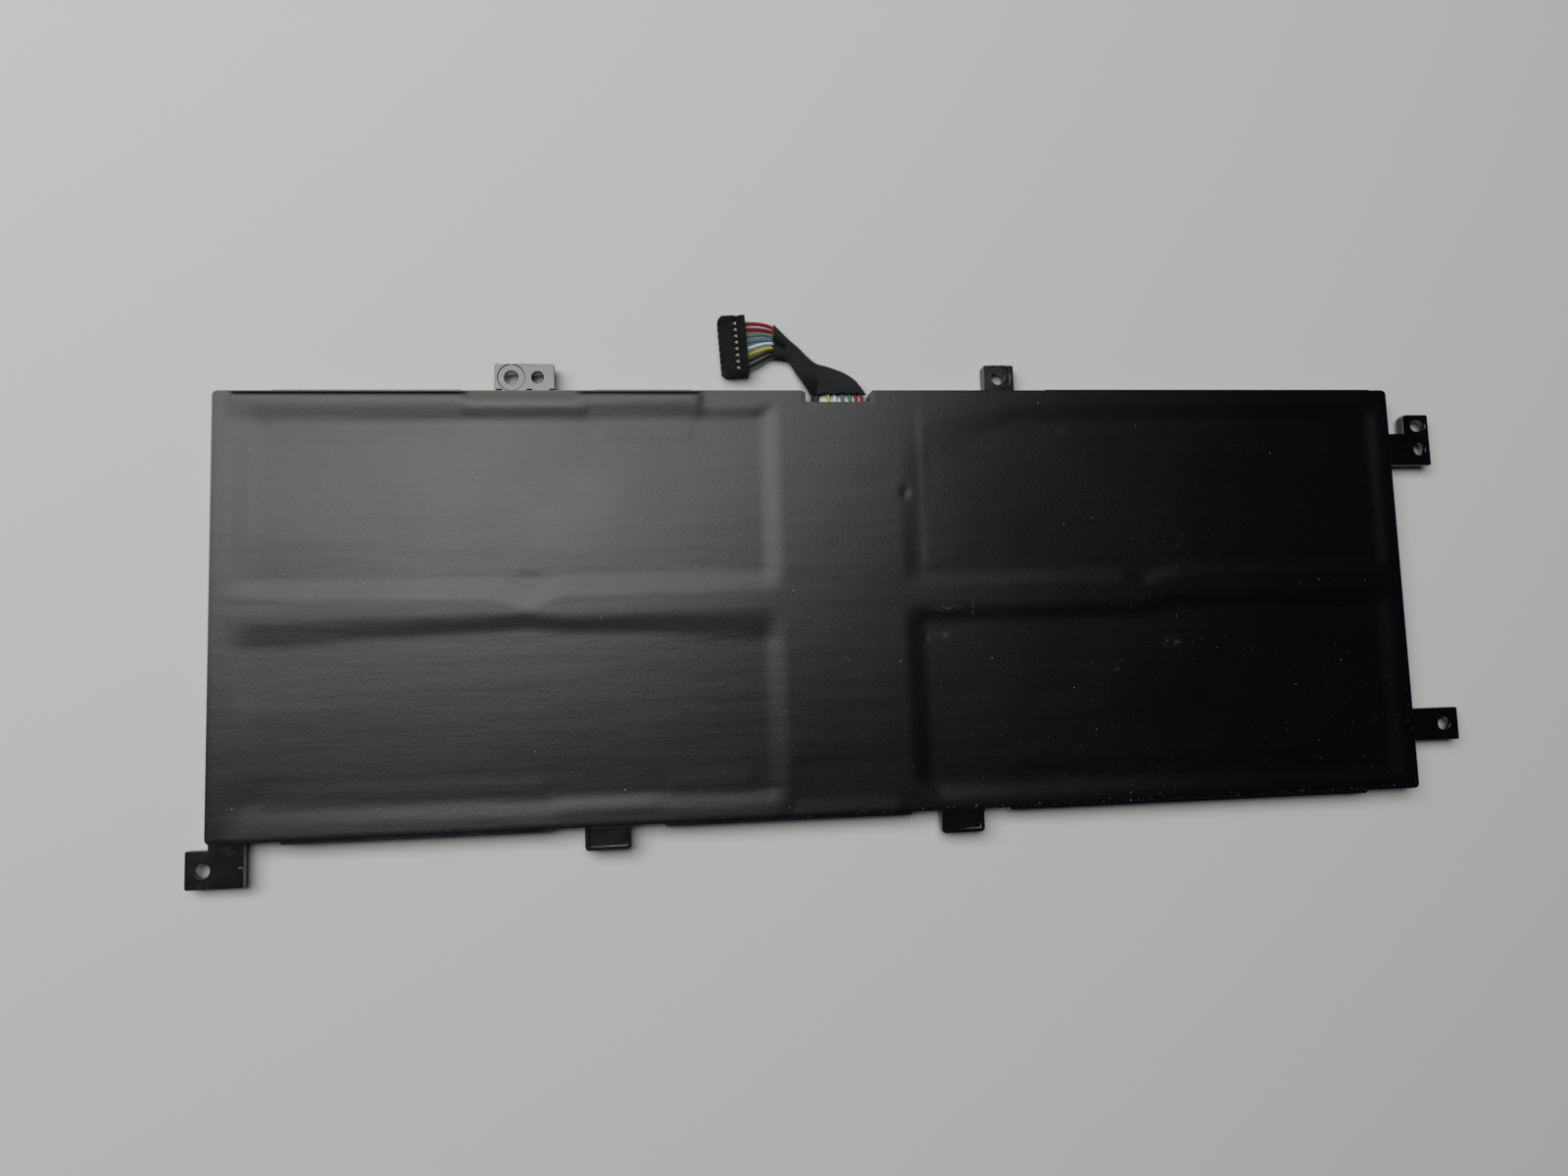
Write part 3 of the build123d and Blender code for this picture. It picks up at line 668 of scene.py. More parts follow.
    def shape(self, graph: NodeGraph, given: bpy.types.NodeOutputs) -> bpy.types.NodeSocket:
        """The form that stands on each point, one unit long.

        Args:
            graph: The tree's graph.
            given: The tree's inputs.

        Returns:
            The form's geometry.
        """
        thin = graph.math("DIVIDE", given["Thickness"], given["Longest"])
        if self.form is ScatterForm.THREAD:
            line = graph.add("GeometryNodeCurveQuadraticBezier", {
                "Resolution": 5, "Start": (0.0, 0.0, 0.0), "Middle": (0.16, 0.05, 0.5),
                "End": (-0.08, 0.10, 1.0)})
            ring = graph.add("GeometryNodeCurvePrimitiveCircle", {"Resolution": 5, "Radius": thin})
            tube = graph.add("GeometryNodeCurveToMesh", {
                "Curve": line.outputs["Curve"], "Profile Curve": ring.outputs["Curve"], "Fill Caps": True})
            return tube.outputs["Mesh"]
        chip = graph.add("GeometryNodeMeshIcoSphere", {"Radius": 0.5, "Subdivisions": 1})
        flat = graph.add("ShaderNodeCombineXYZ", {"X": 1.0, "Y": 0.55, "Z": thin})
        pressed = graph.add("GeometryNodeTransform", {
            "Geometry": chip.outputs["Mesh"], "Scale": flat.outputs[0]})
        return pressed.outputs["Geometry"]


@dataclass(frozen=True)
class SlopeEdge:
    """One edge of a sunk panel: the line where its slope starts and how wide the slope is, along the edge.

    Each station is a place along the edge, the start of the slope there and its width, in millimetres.
    """

    stations: tuple[Point, ...]

    def fall(self, along: np.ndarray, across: np.ndarray, towards: float) -> np.ndarray:
        """How far the film has sunk past this edge.

        Args:
            along: Places along the edge.
            across: Places across it.
            towards: 1 where the panel lies at larger values of across, and -1 where at smaller.

        Returns:
            0 before the slope, 1 past it.
        """
        places, starts, widths = (np.array(column) for column in zip(*self.stations))
        start = np.interp(along, places, starts)
        width = np.interp(along, places, widths)
        return smoothstep(towards * (across - start) / width)


@dataclass(frozen=True)
class SunkPanel:
    """A stretch of film that has sunk between the ribs, over one cell."""

    left: SlopeEdge
    right: SlopeEdge
    front: SlopeEdge
    rear: SlopeEdge
    depth: float = 0.34

    def sunk(self, x: np.ndarray, y: np.ndarray) -> np.ndarray:
        """How far the film has sunk at each point, in millimetres."""
        sides = self.left.fall(y, x, 1.0) * self.right.fall(y, x, -1.0)
        return self.depth * sides * self.front.fall(x, y, 1.0) * self.rear.fall(x, y, -1.0)


@dataclass(frozen=True)
class Crest:
    """A low crest in the film, where something under it holds it up. Lengths are in millimetres.

    It runs along X, or along Y if upright, from start to end at one place, and falls off over its
    own width on either side.
    """

    start: float
    end: float
    place: float
    rise: float
    before: float
    after: float
    upright: bool = False
    fade: float = 2.0

    def height(self, x: np.ndarray, y: np.ndarray) -> np.ndarray:
        """The height of the crest at each point."""
        along, across = (y, x) if self.upright else (x, y)
        ends = smoothstep((along - self.start) / self.fade) * smoothstep((self.end - along) / self.fade)
        gap = across - self.place
        sides = np.where(gap < 0, smoothstep(1 + gap / self.before), smoothstep(1 - gap / self.after))
        return self.rise * ends * sides


@dataclass(frozen=True)
class OvalMark:
    """A soft oval spot on the film: its middle, its reach along X and Y, in millimetres, and its weight."""

    x: float
    y: float
    reach_x: float
    reach_y: float
    weight: float

    def value(self, x: np.ndarray, y: np.ndarray) -> np.ndarray:
        """The mark's strength at each point."""
        return self.weight * bell(np.hypot((x - self.x) / self.reach_x, (y - self.y) / self.reach_y))


UPPER_RIGHT_FRONT = SlopeEdge((
    (14.0, 2.2, 4.0), (66.0, 2.2, 4.0), (71.0, 0.8, 4.0), (80.0, 3.2, 4.0), (136.0, 3.2, 4.4)))
UPPER_RIGHT_REAR = SlopeEdge((
    (14.0, 46.0, 20.0), (34.0, 46.0, 9.0), (42.0, 45.6, 5.6), (136.0, 45.4, 5.0)))
UPPER_RIGHT_END = SlopeEdge(((0.0, 133.8, 4.2), (48.0, 133.8, 4.2)))


@dataclass
class UpperFilm:
    """The upper film: flat on the frame and sunk over the four cells, with the marks that handling has left.

    Lengths in its relief are in millimetres.
    """

    spacing: float = 0.76
    thickness: float = 0.15
    corner: float = 0.7
    rim: float = 0.3
    notch_left: float = -7.4
    notch_right: float = 7.6
    notch_floor: float = 45.4
    notch_mouth: float = 47.45
    rim_drop: float = 0.04
    chip_reach: float = 0.55
    crease_angle: float = math.radians(50)
    flake_spacing: float = 0.3
    flake_share: float = 0.26
    flake_inset: float = 0.12
    flake_level: float = -0.03
    flake_lean: Point = (0.0, -0.35, 1.0)
    panels: tuple[SunkPanel, ...] = (
        SunkPanel(
            left=SlopeEdge(((-48.0, -136.0, 11.0), (48.0, -136.0, 11.0))),
            right=SlopeEdge(((0.0, -13.2, 5.8), (44.0, -13.2, 5.4))),
            front=SlopeEdge(((-136.0, 2.6, 4.6), (-110.0, 2.2, 4.6), (-77.0, 1.4, 5.0), (-70.0, -1.3, 5.4),
                             (-63.0, 1.6, 5.2), (-13.0, 2.2, 5.2))),
            rear=SlopeEdge(((-136.0, 47.6, 6.5), (-124.0, 46.9, 8.2), (-85.0, 46.8, 7.4), (-82.0, 45.2, 5.4),
                            (-59.0, 45.0, 5.2), (-56.0, 46.6, 7.0), (-34.0, 46.8, 7.2), (-31.0, 45.0, 4.4),
                            (-18.0, 45.0, 4.0), (-14.0, 46.4, 3.4))),
        ),
        SunkPanel(
            left=SlopeEdge(((-48.0, -136.0, 10.0), (0.0, -136.0, 10.0))),
            right=SlopeEdge(((-44.0, -13.2, 5.8), (0.0, -13.2, 5.8))),
            front=SlopeEdge(((-136.0, -47.2, 7.0), (-126.0, -46.2, 7.0), (-112.0, -46.0, 6.0),
                             (-66.0, -45.8, 5.0), (-62.0, -45.2, 4.6), (-44.0, -45.2, 4.6),
                             (-40.0, -45.8, 5.0), (-13.0, -46.0, 5.0))),
            rear=SlopeEdge(((-136.0, -0.6, 7.0), (-131.0, -1.0, 7.6), (-121.0, -1.2, 7.4),
                            (-118.0, -1.0, 7.2), (-100.0, -1.2, 5.8), (-78.0, -1.3, 4.8),
                            (-70.0, -0.9, 4.8), (-62.0, -2.0, 4.6), (-45.0, -1.7, 5.4),
                            (-22.0, -1.5, 8.0), (-13.0, -1.4, 7.0))),
        ),
        SunkPanel(
            left=SlopeEdge(((0.0, 13.4, 4.4), (12.0, 13.4, 5.4), (24.0, 13.4, 7.4), (46.0, 13.6, 10.0))),
            right=UPPER_RIGHT_END,
            front=UPPER_RIGHT_FRONT,
            rear=UPPER_RIGHT_REAR,
            depth=0.14,
        ),
        SunkPanel(
            left=SlopeEdge(((0.0, 19.6, 36.0), (46.0, 19.6, 36.0))),
            right=UPPER_RIGHT_END,
            front=UPPER_RIGHT_FRONT,
            rear=UPPER_RIGHT_REAR,
            depth=0.20,
        ),
        SunkPanel(
            left=SlopeEdge(((-48.0, 13.2, 5.8), (0.0, 13.2, 5.8))),
            right=SlopeEdge(((-48.0, 133.8, 5.4), (0.0, 133.8, 5.4))),
            front=SlopeEdge(((12.0, -42.6, 5.0), (14.5, -43.6, 4.6), (20.0, -46.8, 5.2),
                             (136.0, -46.6, 4.8))),
            rear=SlopeEdge(((12.0, -1.6, 4.8), (66.0, -1.6, 4.8), (71.0, -1.4, 5.0), (78.0, 0.4, 4.8),
                            (136.0, 0.2, 5.0))),
            depth=0.40,
        ),
    )
    crests: tuple[Crest, ...] = (
        Crest(4.0, 45.0, -128.0, 0.15, 4.4, 30.0, upright=True, fade=13.0),
        Crest(-48.0, -10.0, -129.0, 0.09, 4.2, 30.0, upright=True, fade=14.0),
        Crest(-134.0, -82.0, 47.0, 0.36, 7.4, 0.9, fade=3.0),
        Crest(-85.0, -57.0, 45.6, 0.24, 4.4, 2.3, fade=2.5),
        Crest(-60.0, -30.0, 47.0, 0.28, 6.4, 0.9, fade=3.0),
        Crest(-134.0, -14.0, -48.4, 0.09, 1.0, 3.6, fade=3.0),
        Crest(-125.0, -84.0, 37.8, 0.06, 1.8, 3.6, fade=1.4),
        Crest(-55.0, -33.0, 37.8, 0.06, 1.8, 3.6, fade=1.4),
        Crest(-126.0, -66.0, -39.7, 0.040, 3.2, 4.0),
        Crest(-41.0, -21.0, -39.8, 0.045, 3.2, 4.4),
        Crest(-14.0, 13.0, -47.9, 0.15, 1.0, 4.4, fade=3.0),
        Crest(52.0, 122.0, 37.6, 0.030, 1.6, 3.2),
        Crest(36.0, 122.0, -37.4, 0.045, 3.0, 5.0),
        Crest(-136.0, -119.0, 1.4, -0.035, 1.4, 1.6, fade=5.0),
        Crest(-73.0, -66.0, 6.2, -0.06, 1.4, 1.6, fade=1.8),
        Crest(4.0, 24.0, 16.0, -0.02, 2.6, 2.6, upright=True, fade=4.0),
        Crest(4.0, 46.0, 19.4, 0.05, 1.3, 16.0, upright=True, fade=5.0),
        Crest(-15.0, 15.0, -36.6, -0.04, 6.0, 2.2, fade=4.0),
    )
    knocks: tuple[OvalMark, ...] = (
        OvalMark(-57.6, 44.0, 0.45, 0.45, 0.09),
        OvalMark(14.9, 24.2, 0.8, 1.1, -0.17),
        OvalMark(-18.8, 41.6, 0.5, 0.5, -0.05),
        OvalMark(19.6, 41.0, 0.4, 0.4, -0.05),
    )
    rubs: tuple[OvalMark, ...] = (
        OvalMark(23.6, -2.6, 3.4, 0.5, 0.75),
        OvalMark(22.6, -9.0, 1.4, 0.45, 1.0),
        OvalMark(18.9, -9.2, 0.12, 1.3, 0.9),
        OvalMark(76.2, -11.7, 0.8, 0.6, 0.95),
        OvalMark(78.2, -11.8, 0.9, 0.6, 0.9),
        OvalMark(29.6, -2.4, 0.12, 1.6, 0.6),
        OvalMark(-57.4, 43.9, 0.35, 0.5, 0.9),
        OvalMark(63.0, -17.8, 0.8, 0.3, 0.6),
    )

    def relief(self, x: np.ndarray, y: np.ndarray) -> np.ndarray:
        """The height of the film over its flat level.

        Args:
            x: Places along the pack, in millimetres.
            y: Places across it.

        Returns:
            Heights in millimetres, mostly below 0.
        """
        height = np.zeros_like(x)
        for panel in self.panels:
            height -= panel.sunk(x, y)
        for crest in self.crests:
            height += crest.height(x, y)
        for knock in self.knocks:
            height += knock.value(x, y)
        return height - self.crease(x, y)

    @staticmethod
    def crease(x: np.ndarray, y: np.ndarray) -> np.ndarray:
        """The depth of a fine bowed crease near the rear edge."""
        bow = 0.0012 * (x - 34.0) ** 2
        return 0.05 * bell((y - 43.6 + bow) / 0.22) * bell((x - 32.0) / 9.0)

    @staticmethod
    def box() -> tuple[np.ndarray, np.ndarray]:
        """The lowest and the highest corner of the solid film, in millimetres."""
        low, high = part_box("top_film")
        return np.array(low) / MM, np.array(high) / MM

    def lines(self, keys: Sequence[float]) -> np.ndarray:
        """Grid lines through the key places, about one spacing apart."""
        runs = []
        for start, end in zip(keys, keys[1:]):
            count = max(1, round((end - start) / self.spacing))
            runs.append(np.linspace(start, end, count + 1)[:-1])
        return np.concatenate([*runs, keys[-1:]])

    def build(self, material: bpy.types.Material) -> bpy.types.Object:
        """Makes the film as a closed sheet.

        Args:
            material: The film's material.

        Returns:
            The film.
        """
        low, high = self.box()
        rim = self.rim
        along = self.lines([low[0], low[0] + rim, self.notch_left, self.notch_right, high[0] - rim, high[0]])
        across = self.lines(
            [low[1], low[1] + rim, self.notch_floor, self.notch_mouth, high[1] - rim, high[1]])
        x, y = np.meshgrid(along, across, indexing="ij")
        inside = (x > self.notch_left + 0.01) & (x < self.notch_right - 0.01) & (y > self.notch_floor + 0.01)
        px, py = self.rounded(x, y, high[0], high[1])
        z = high[2] + self.relief(px, py)
        edge = self.edge_distance(px, py, high[0], high[1])
        z -= self.rim_drop * smoothstep(1.0 - edge / rim)
        top = np.stack([px, py, z], -1).reshape(-1, 3)
        count = len(top)
        points = np.concatenate([top, top - (0.0, 0.0, self.thickness)]) * MM
        faces = self.faces(x.shape, inside, count)
        mesh = bpy.data.meshes.new("upper_film")
        mesh.from_pydata(points.tolist(), [], faces)
        chips = smoothstep(1.2 - edge / self.chip_reach) * self.wear(px, py)
        mark_points(mesh, "cut_edge", np.tile(chips.ravel(), 2))
        mark_points(mesh, "scuffed", np.tile(self.scuffs(px, py).ravel(), 2))
        work = bmesh.new()
        work.from_mesh(mesh)
        bmesh.ops.delete(work, geom=[v for v in work.verts if not v.link_faces], context="VERTS")
        work.to_mesh(mesh)
        work.free()
        mesh.shade_smooth()
        mesh.set_sharp_from_angle(angle=self.crease_angle)
        return add_piece("upper_film", mesh, material, ["top_film"])

    def edge_flakes(self, material: bpy.types.Material) -> PointScatter:
        """Pale burrs along the film's worn front edge.

        Args:
            material: The burrs' material.

        Returns:
            The scatter, ready to be run.
        """
        low, high = self.box()
        x = np.arange(low[0] + self.corner, high[0] - self.corner, self.flake_spacing)
        wander = 0.10 * np.sin(7.3 * x) * np.sin(2.9 * x)
        y = np.full_like(x, low[1] + self.flake_inset) + wander
        z = np.full_like(x, high[2] + self.flake_level)
        upwards = np.tile(self.flake_lean, (len(x), 1))
        return PointScatter(
            "edge_flakes", ScatterForm.FLAKE, np.stack([x, y, z], -1) * MM, upwards,
            self.flake_share * self.wear(x, y), material,
            shortest=0.08 * MM, longest=0.34 * MM, thickness=0.05 * MM, spread=0.5)

    def rounded(self, x: np.ndarray, y: np.ndarray, end: float, side: float) -> tuple[np.ndarray, np.ndarray]:
        """Draws the grid's corners in to arcs, and opens the mouth of the notch."""
        dx = np.abs(x) - (end - self.corner)
        dy = np.abs(y) - (side - self.corner)
        corner = (dx > 0) & (dy > 0)
        shrink = np.where(corner, np.maximum(dx, dy) / np.maximum(np.hypot(dx, dy), 1e-9), 1.0)
        new_x = np.where(corner, np.sign(x) * (end - self.corner + dx * shrink), x)
        new_y = np.where(corner, np.sign(y) * (side - self.corner + dy * shrink), y)
        flare = np.clip(y - self.notch_mouth, 0.0, None)
        for outwards, mouth in ((1.0, self.notch_right), (-1.0, self.notch_left)):
            beyond = outwards * (x - mouth)
            pull = bell(np.clip(beyond, 0.0, None) / 3.0) * (beyond >= -0.01)
            new_x = new_x + outwards * flare * pull
        return new_x, new_y

    def edge_distance(self, x: np.ndarray, y: np.ndarray, end: float, side: float) -> np.ndarray:
        """How far each point lies inside the film's cut edge."""
        outer = np.minimum(end - np.abs(x), side - np.abs(y))
        beside = np.maximum(self.notch_left - x, x - self.notch_right)
        notch = np.hypot(np.clip(beside, 0.0, None), np.clip(self.notch_floor - y, 0.0, None))
        return np.clip(np.minimum(outer, notch), 0.0, None)

    @staticmethod
    def wear(x: np.ndarray, y: np.ndarray) -> np.ndarray:
        """How worn the cut edge is: most along the front of the right half, little along the rear."""
        corner = 0.6 * smoothstep((-126.0 - x) / 4.0)
        front = smoothstep((-40.0 - y) / 6.0) * (0.25 + 0.75 * smoothstep((x + 30.0) / 60.0) + corner)
        right = 0.35 * smoothstep((x - 130.0) / 5.0)
        left = 0.22 * smoothstep((-130.0 - x) / 5.0)
        return np.maximum(np.maximum(front, right), np.maximum(left, 0.06))

    def scuffs(self, x: np.ndarray, y: np.ndarray) -> np.ndarray:
        """Where handling has rubbed pale marks into the film."""
        return np.max([rub.value(x, y) for rub in self.rubs], axis=0)

    @staticmethod
    def faces(shape: tuple[int, int], inside: np.ndarray, count: int) -> list[tuple[int, ...]]:
        """The quads of the upper and lower sides and of the cut edge between them.

        Args:
            shape: The grid's size.
            inside: Grid points that lie inside the notch.
            count: Points on one side.

        Returns:
            The faces.
        """
        rows, columns = shape
        number = np.arange(rows * columns).reshape(rows, columns)
        corners = [number[:-1, :-1], number[1:, :-1], number[1:, 1:], number[:-1, 1:]]
        quads = np.stack(corners, -1).reshape(-1, 4)
        cut = inside.ravel()[quads].any(1)
        quads = quads[~cut]
        edges = np.concatenate([quads[:, [i, (i + 1) % 4]] for i in range(4)])
        keys = {tuple(edge) for edge in edges.tolist()}
        rim = [(a, b) for a, b in keys if (b, a) not in keys]
        upper = [tuple(quad) for quad in quads.tolist()]
        lower = [tuple(count + corner for corner in reversed(quad)) for quad in upper]
        wall = [(b, a, a + count, b + count) for a, b in rim]
        return upper + lower + wall


@dataclass(frozen=True)
class Station:
    """One point of the lead's route: a place in millimetres, a heading in degrees and how the wires lie."""

    x: float
    y: float
    z: float
    heading: float
    reach: float
    pairing: float
    lift: float

    def across(self) -> Vector:
        """The level direction across the lead, towards the last wire."""
        turn = math.radians(self.heading)
        return Vector((math.sin(turn), -math.cos(turn), 0.0))

    def lane(self, number: int, count: int) -> Vector:
        """The place of one wire.

        Args:
            number: The wire, from 0.
            count: How many wires there are.

        Returns:
            Its place, in metres.
        """
        side_by_side = (2 * number - count + 1) / (count - 1)
        pairs = count // 2
        paired = (2 * (number // 2) - pairs + 1) / (pairs - 1)
        offset = self.reach * ((1 - self.pairing) * side_by_side + self.pairing * paired)
        layer = self.lift if number % 2 else -self.lift
        return (Vector((self.x, self.y, self.z + layer)) + offset * self.across()) * MM


@dataclass
class WireLead:
    """The eight wires of the lead, from their pads on the board to the plug."""

    diameter: float = 0.85 * MM
    colours: tuple[tuple[str, WireColour], ...] = (
        ("black_1", WireColour.BLACK), ("black_2", WireColour.BLACK), ("yellow", WireColour.YELLOW),
        ("white", WireColour.WHITE), ("blue", WireColour.BLUE), ("green", WireColour.GREEN),
        ("red_1", WireColour.RED), ("red_2", WireColour.RED),
    )
    lengths: tuple[float, ...] = (31.15, 31.63, 33.82, 34.87, 37.25, 38.72, 41.21, 42.97)
    route: tuple[Station, ...] = (
        Station(0.3, 39.4, 2.95, 90, 5.2, 0.0, 0.0),
        Station(-0.1, 43.4, 2.97, 90, 5.7, 0.0, 0.0),
        Station(0.4, 47.5, 2.9, 90, 5.85, 0.0, 0.0),
        Station(-0.4, 49.4, 2.75, 92, 5.3, 0.15, 0.15),
        Station(-1.6, 51.1, 2.45, 94, 4.3, 0.45, 0.36),
        Station(-3.4, 52.65, 2.1, 97, 3.1, 0.75, 0.55),
        Station(-5.5, 53.85, 1.85, 99, 2.1, 1.0, 0.6),
        Station(-6.85, 54.8, 1.7, 98, 1.85, 1.0, 0.6),
        Station(-8.15, 56.15, 1.62, 111, 1.44, 1.0, 0.6),
        Station(-9.6, 57.7, 1.65, 137, 1.33, 1.0, 0.6),
        Station(-11.6, 59.1, 1.75, 161, 1.85, 0.6, 0.5),
        Station(-14.2, 60.75, 1.85, 174, 3.2, 0.0, 0.25),
        Station(-17.3, 60.4, 2.0, 182, 4.4, 0.0, 0.12),
    )
    gap_shifts: tuple[float, ...] = (0.15, -0.45, 0.6, 0.45, 0.55, 0.65, 0.45, 0.05)
    exit_station: int = 2
    plug_place: tuple[float, float] = (-23.45, 59.35)
    plug_turn: float = math.radians(3.4)
    plug_half: float = 3.15
    seat_depth: float = 1.8
    contact_pitch: float = 1.5
    contact_level: float = 2.0

    def seat(self, number: int, depth: float) -> Vector:
        """A point of one wire in the plug, at a depth from its wire side."""
        local = Vector((self.plug_half - depth, (number - (len(self.colours) - 1) / 2) * self.contact_pitch))
        turned = Matrix.Rotation(self.plug_turn, 2) @ local
        return Vector((self.plug_place[0] + turned.x, self.plug_place[1] + turned.y, self.contact_level)) * MM

    def points(self, number: int) -> list[Vector]:
        """The route's points for one wire."""
        free = [self.place(number, index) for index in range(len(self.route))]
        return [*free, self.seat(number, 0.0), self.seat(number, self.seat_depth)]

    def place(self, number: int, index: int) -> Vector:
        """The place of one wire at one station. Some wires have slid sideways in the pack's gap."""
        spot = self.route[index].lane(number, len(self.colours))
        slid = self.gap_shifts[number] * MM if index in (self.exit_station - 1, self.exit_station) else 0.0
        return spot + Vector((slid, 0.0, 0.0))

    def build(self, effects: SharedEffects) -> list[bpy.types.Object]:
        """Makes the wires as smooth curves.

        Args:
            effects: The shared shader groups.

        Returns:
            One object for each wire.
        """
        finishes = {colour: WireSkin(f"wire_{colour.name.lower()}", colour.value).material(effects)
                    for colour in WireColour}
        wires = []
        for number, (name, colour) in enumerate(self.colours):
            curve = bpy.data.curves.new(f"lead_{name}", "CURVE")
            curve.dimensions = "3D"
            curve.bevel_depth = self.diameter / 2
            curve.bevel_resolution = 4
            curve.resolution_u = 10
            curve.use_fill_caps = True
            spline = curve.splines.new("NURBS")
            places = self.points(number)
            spline.points.add(len(places) - 1)
            for point, place in zip(spline.points, places):
                point.co = (*place, 1.0)
            spline.order_u = 3
            spline.use_endpoint_u = True
            curve.materials.append(finishes[colour])
            wire = bpy.data.objects.new(f"lead_{name}", curve)
            bpy.context.scene.collection.objects.link(wire)
            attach(wire, BODY)
            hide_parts(f"wire_{name}")
            wires.append(wire)
        return wires

    def declare(self, wires: Sequence[bpy.types.Object]) -> None:
        """Finds the place where each wire leaves the pack, and does nothing more with it.

        Args:
            wires: The wires, in order.
        """
        for number, (wire, length) in enumerate(zip(wires, self.lengths)):
            leaves = self.place(number, self.exit_station)


@dataclass
class LeadTape:
    """The pale tape under the wires in the pack's gap, which runs on down into the sleeve."""

    left: float = -4.6
    right: float = 6.4
    thickness: float = 0.06
    route: tuple[tuple[float, float], ...] = (
        (41.0, 2.40), (46.4, 2.40), (47.0, 2.39), (47.7, 2.32), (48.4, 2.20), (49.2, 2.06))

    def build(self, material: bpy.types.Material) -> bpy.types.Object:
        """Makes the tape as a thin closed strip.

        Args:
            material: The tape's material.

        Returns:
            The tape.
        """
        rings = []
        for y, z in self.route:
            top = z + self.thickness
            rings += [(self.left, y, z), (self.right, y, z), (self.right, y, top), (self.left, y, top)]
        faces = [(0, 1, 2, 3), tuple(range(len(rings) - 1, len(rings) - 5, -1))]
        for start in range(0, len(rings) - 4, 4):
            for side in range(4):
                after = (side + 1) % 4
                faces.append((start + side, start + 4 + side, start + 4 + after, start + after))
        mesh = bpy.data.meshes.new("lead_tape_strip")
        mesh.from_pydata((np.array(rings) * MM).tolist(), [], faces)
        turn_faces_outwards(mesh)
        return add_piece("lead_tape_strip", mesh, material, ["lead_tape"])


@dataclass(frozen=True)
class SleeveRib:
    """One section of the sleeve, in millimetres: its two edges, its middle's height and its thickness."""

    left: tuple[float, float]
    right: tuple[float, float]
    level: float
    thickness: float


def catmull(table: np.ndarray, shares: np.ndarray) -> np.ndarray:
    """A smooth run through the rows of a table.

    Args:
        table: The rows to pass through.
        shares: Places from 0 at the first row to 1 at the last.

    Returns:
        One row for each share.
    """
    last = len(table) - 1
    place = np.clip(shares, 0.0, 1.0) * last
    index = np.minimum(place.astype(int), last - 1)
    t = (place - index)[:, None]
    before, start, end, after = (table[np.clip(index + step, 0, last)] for step in (-1, 0, 1, 2))
    linear = (end - before) * t
    square = (2 * before - 5 * start + 4 * end - after) * t ** 2
    cube = (3 * start - before - 3 * end + after) * t ** 3
    return 0.5 * (2 * start + linear + square + cube)


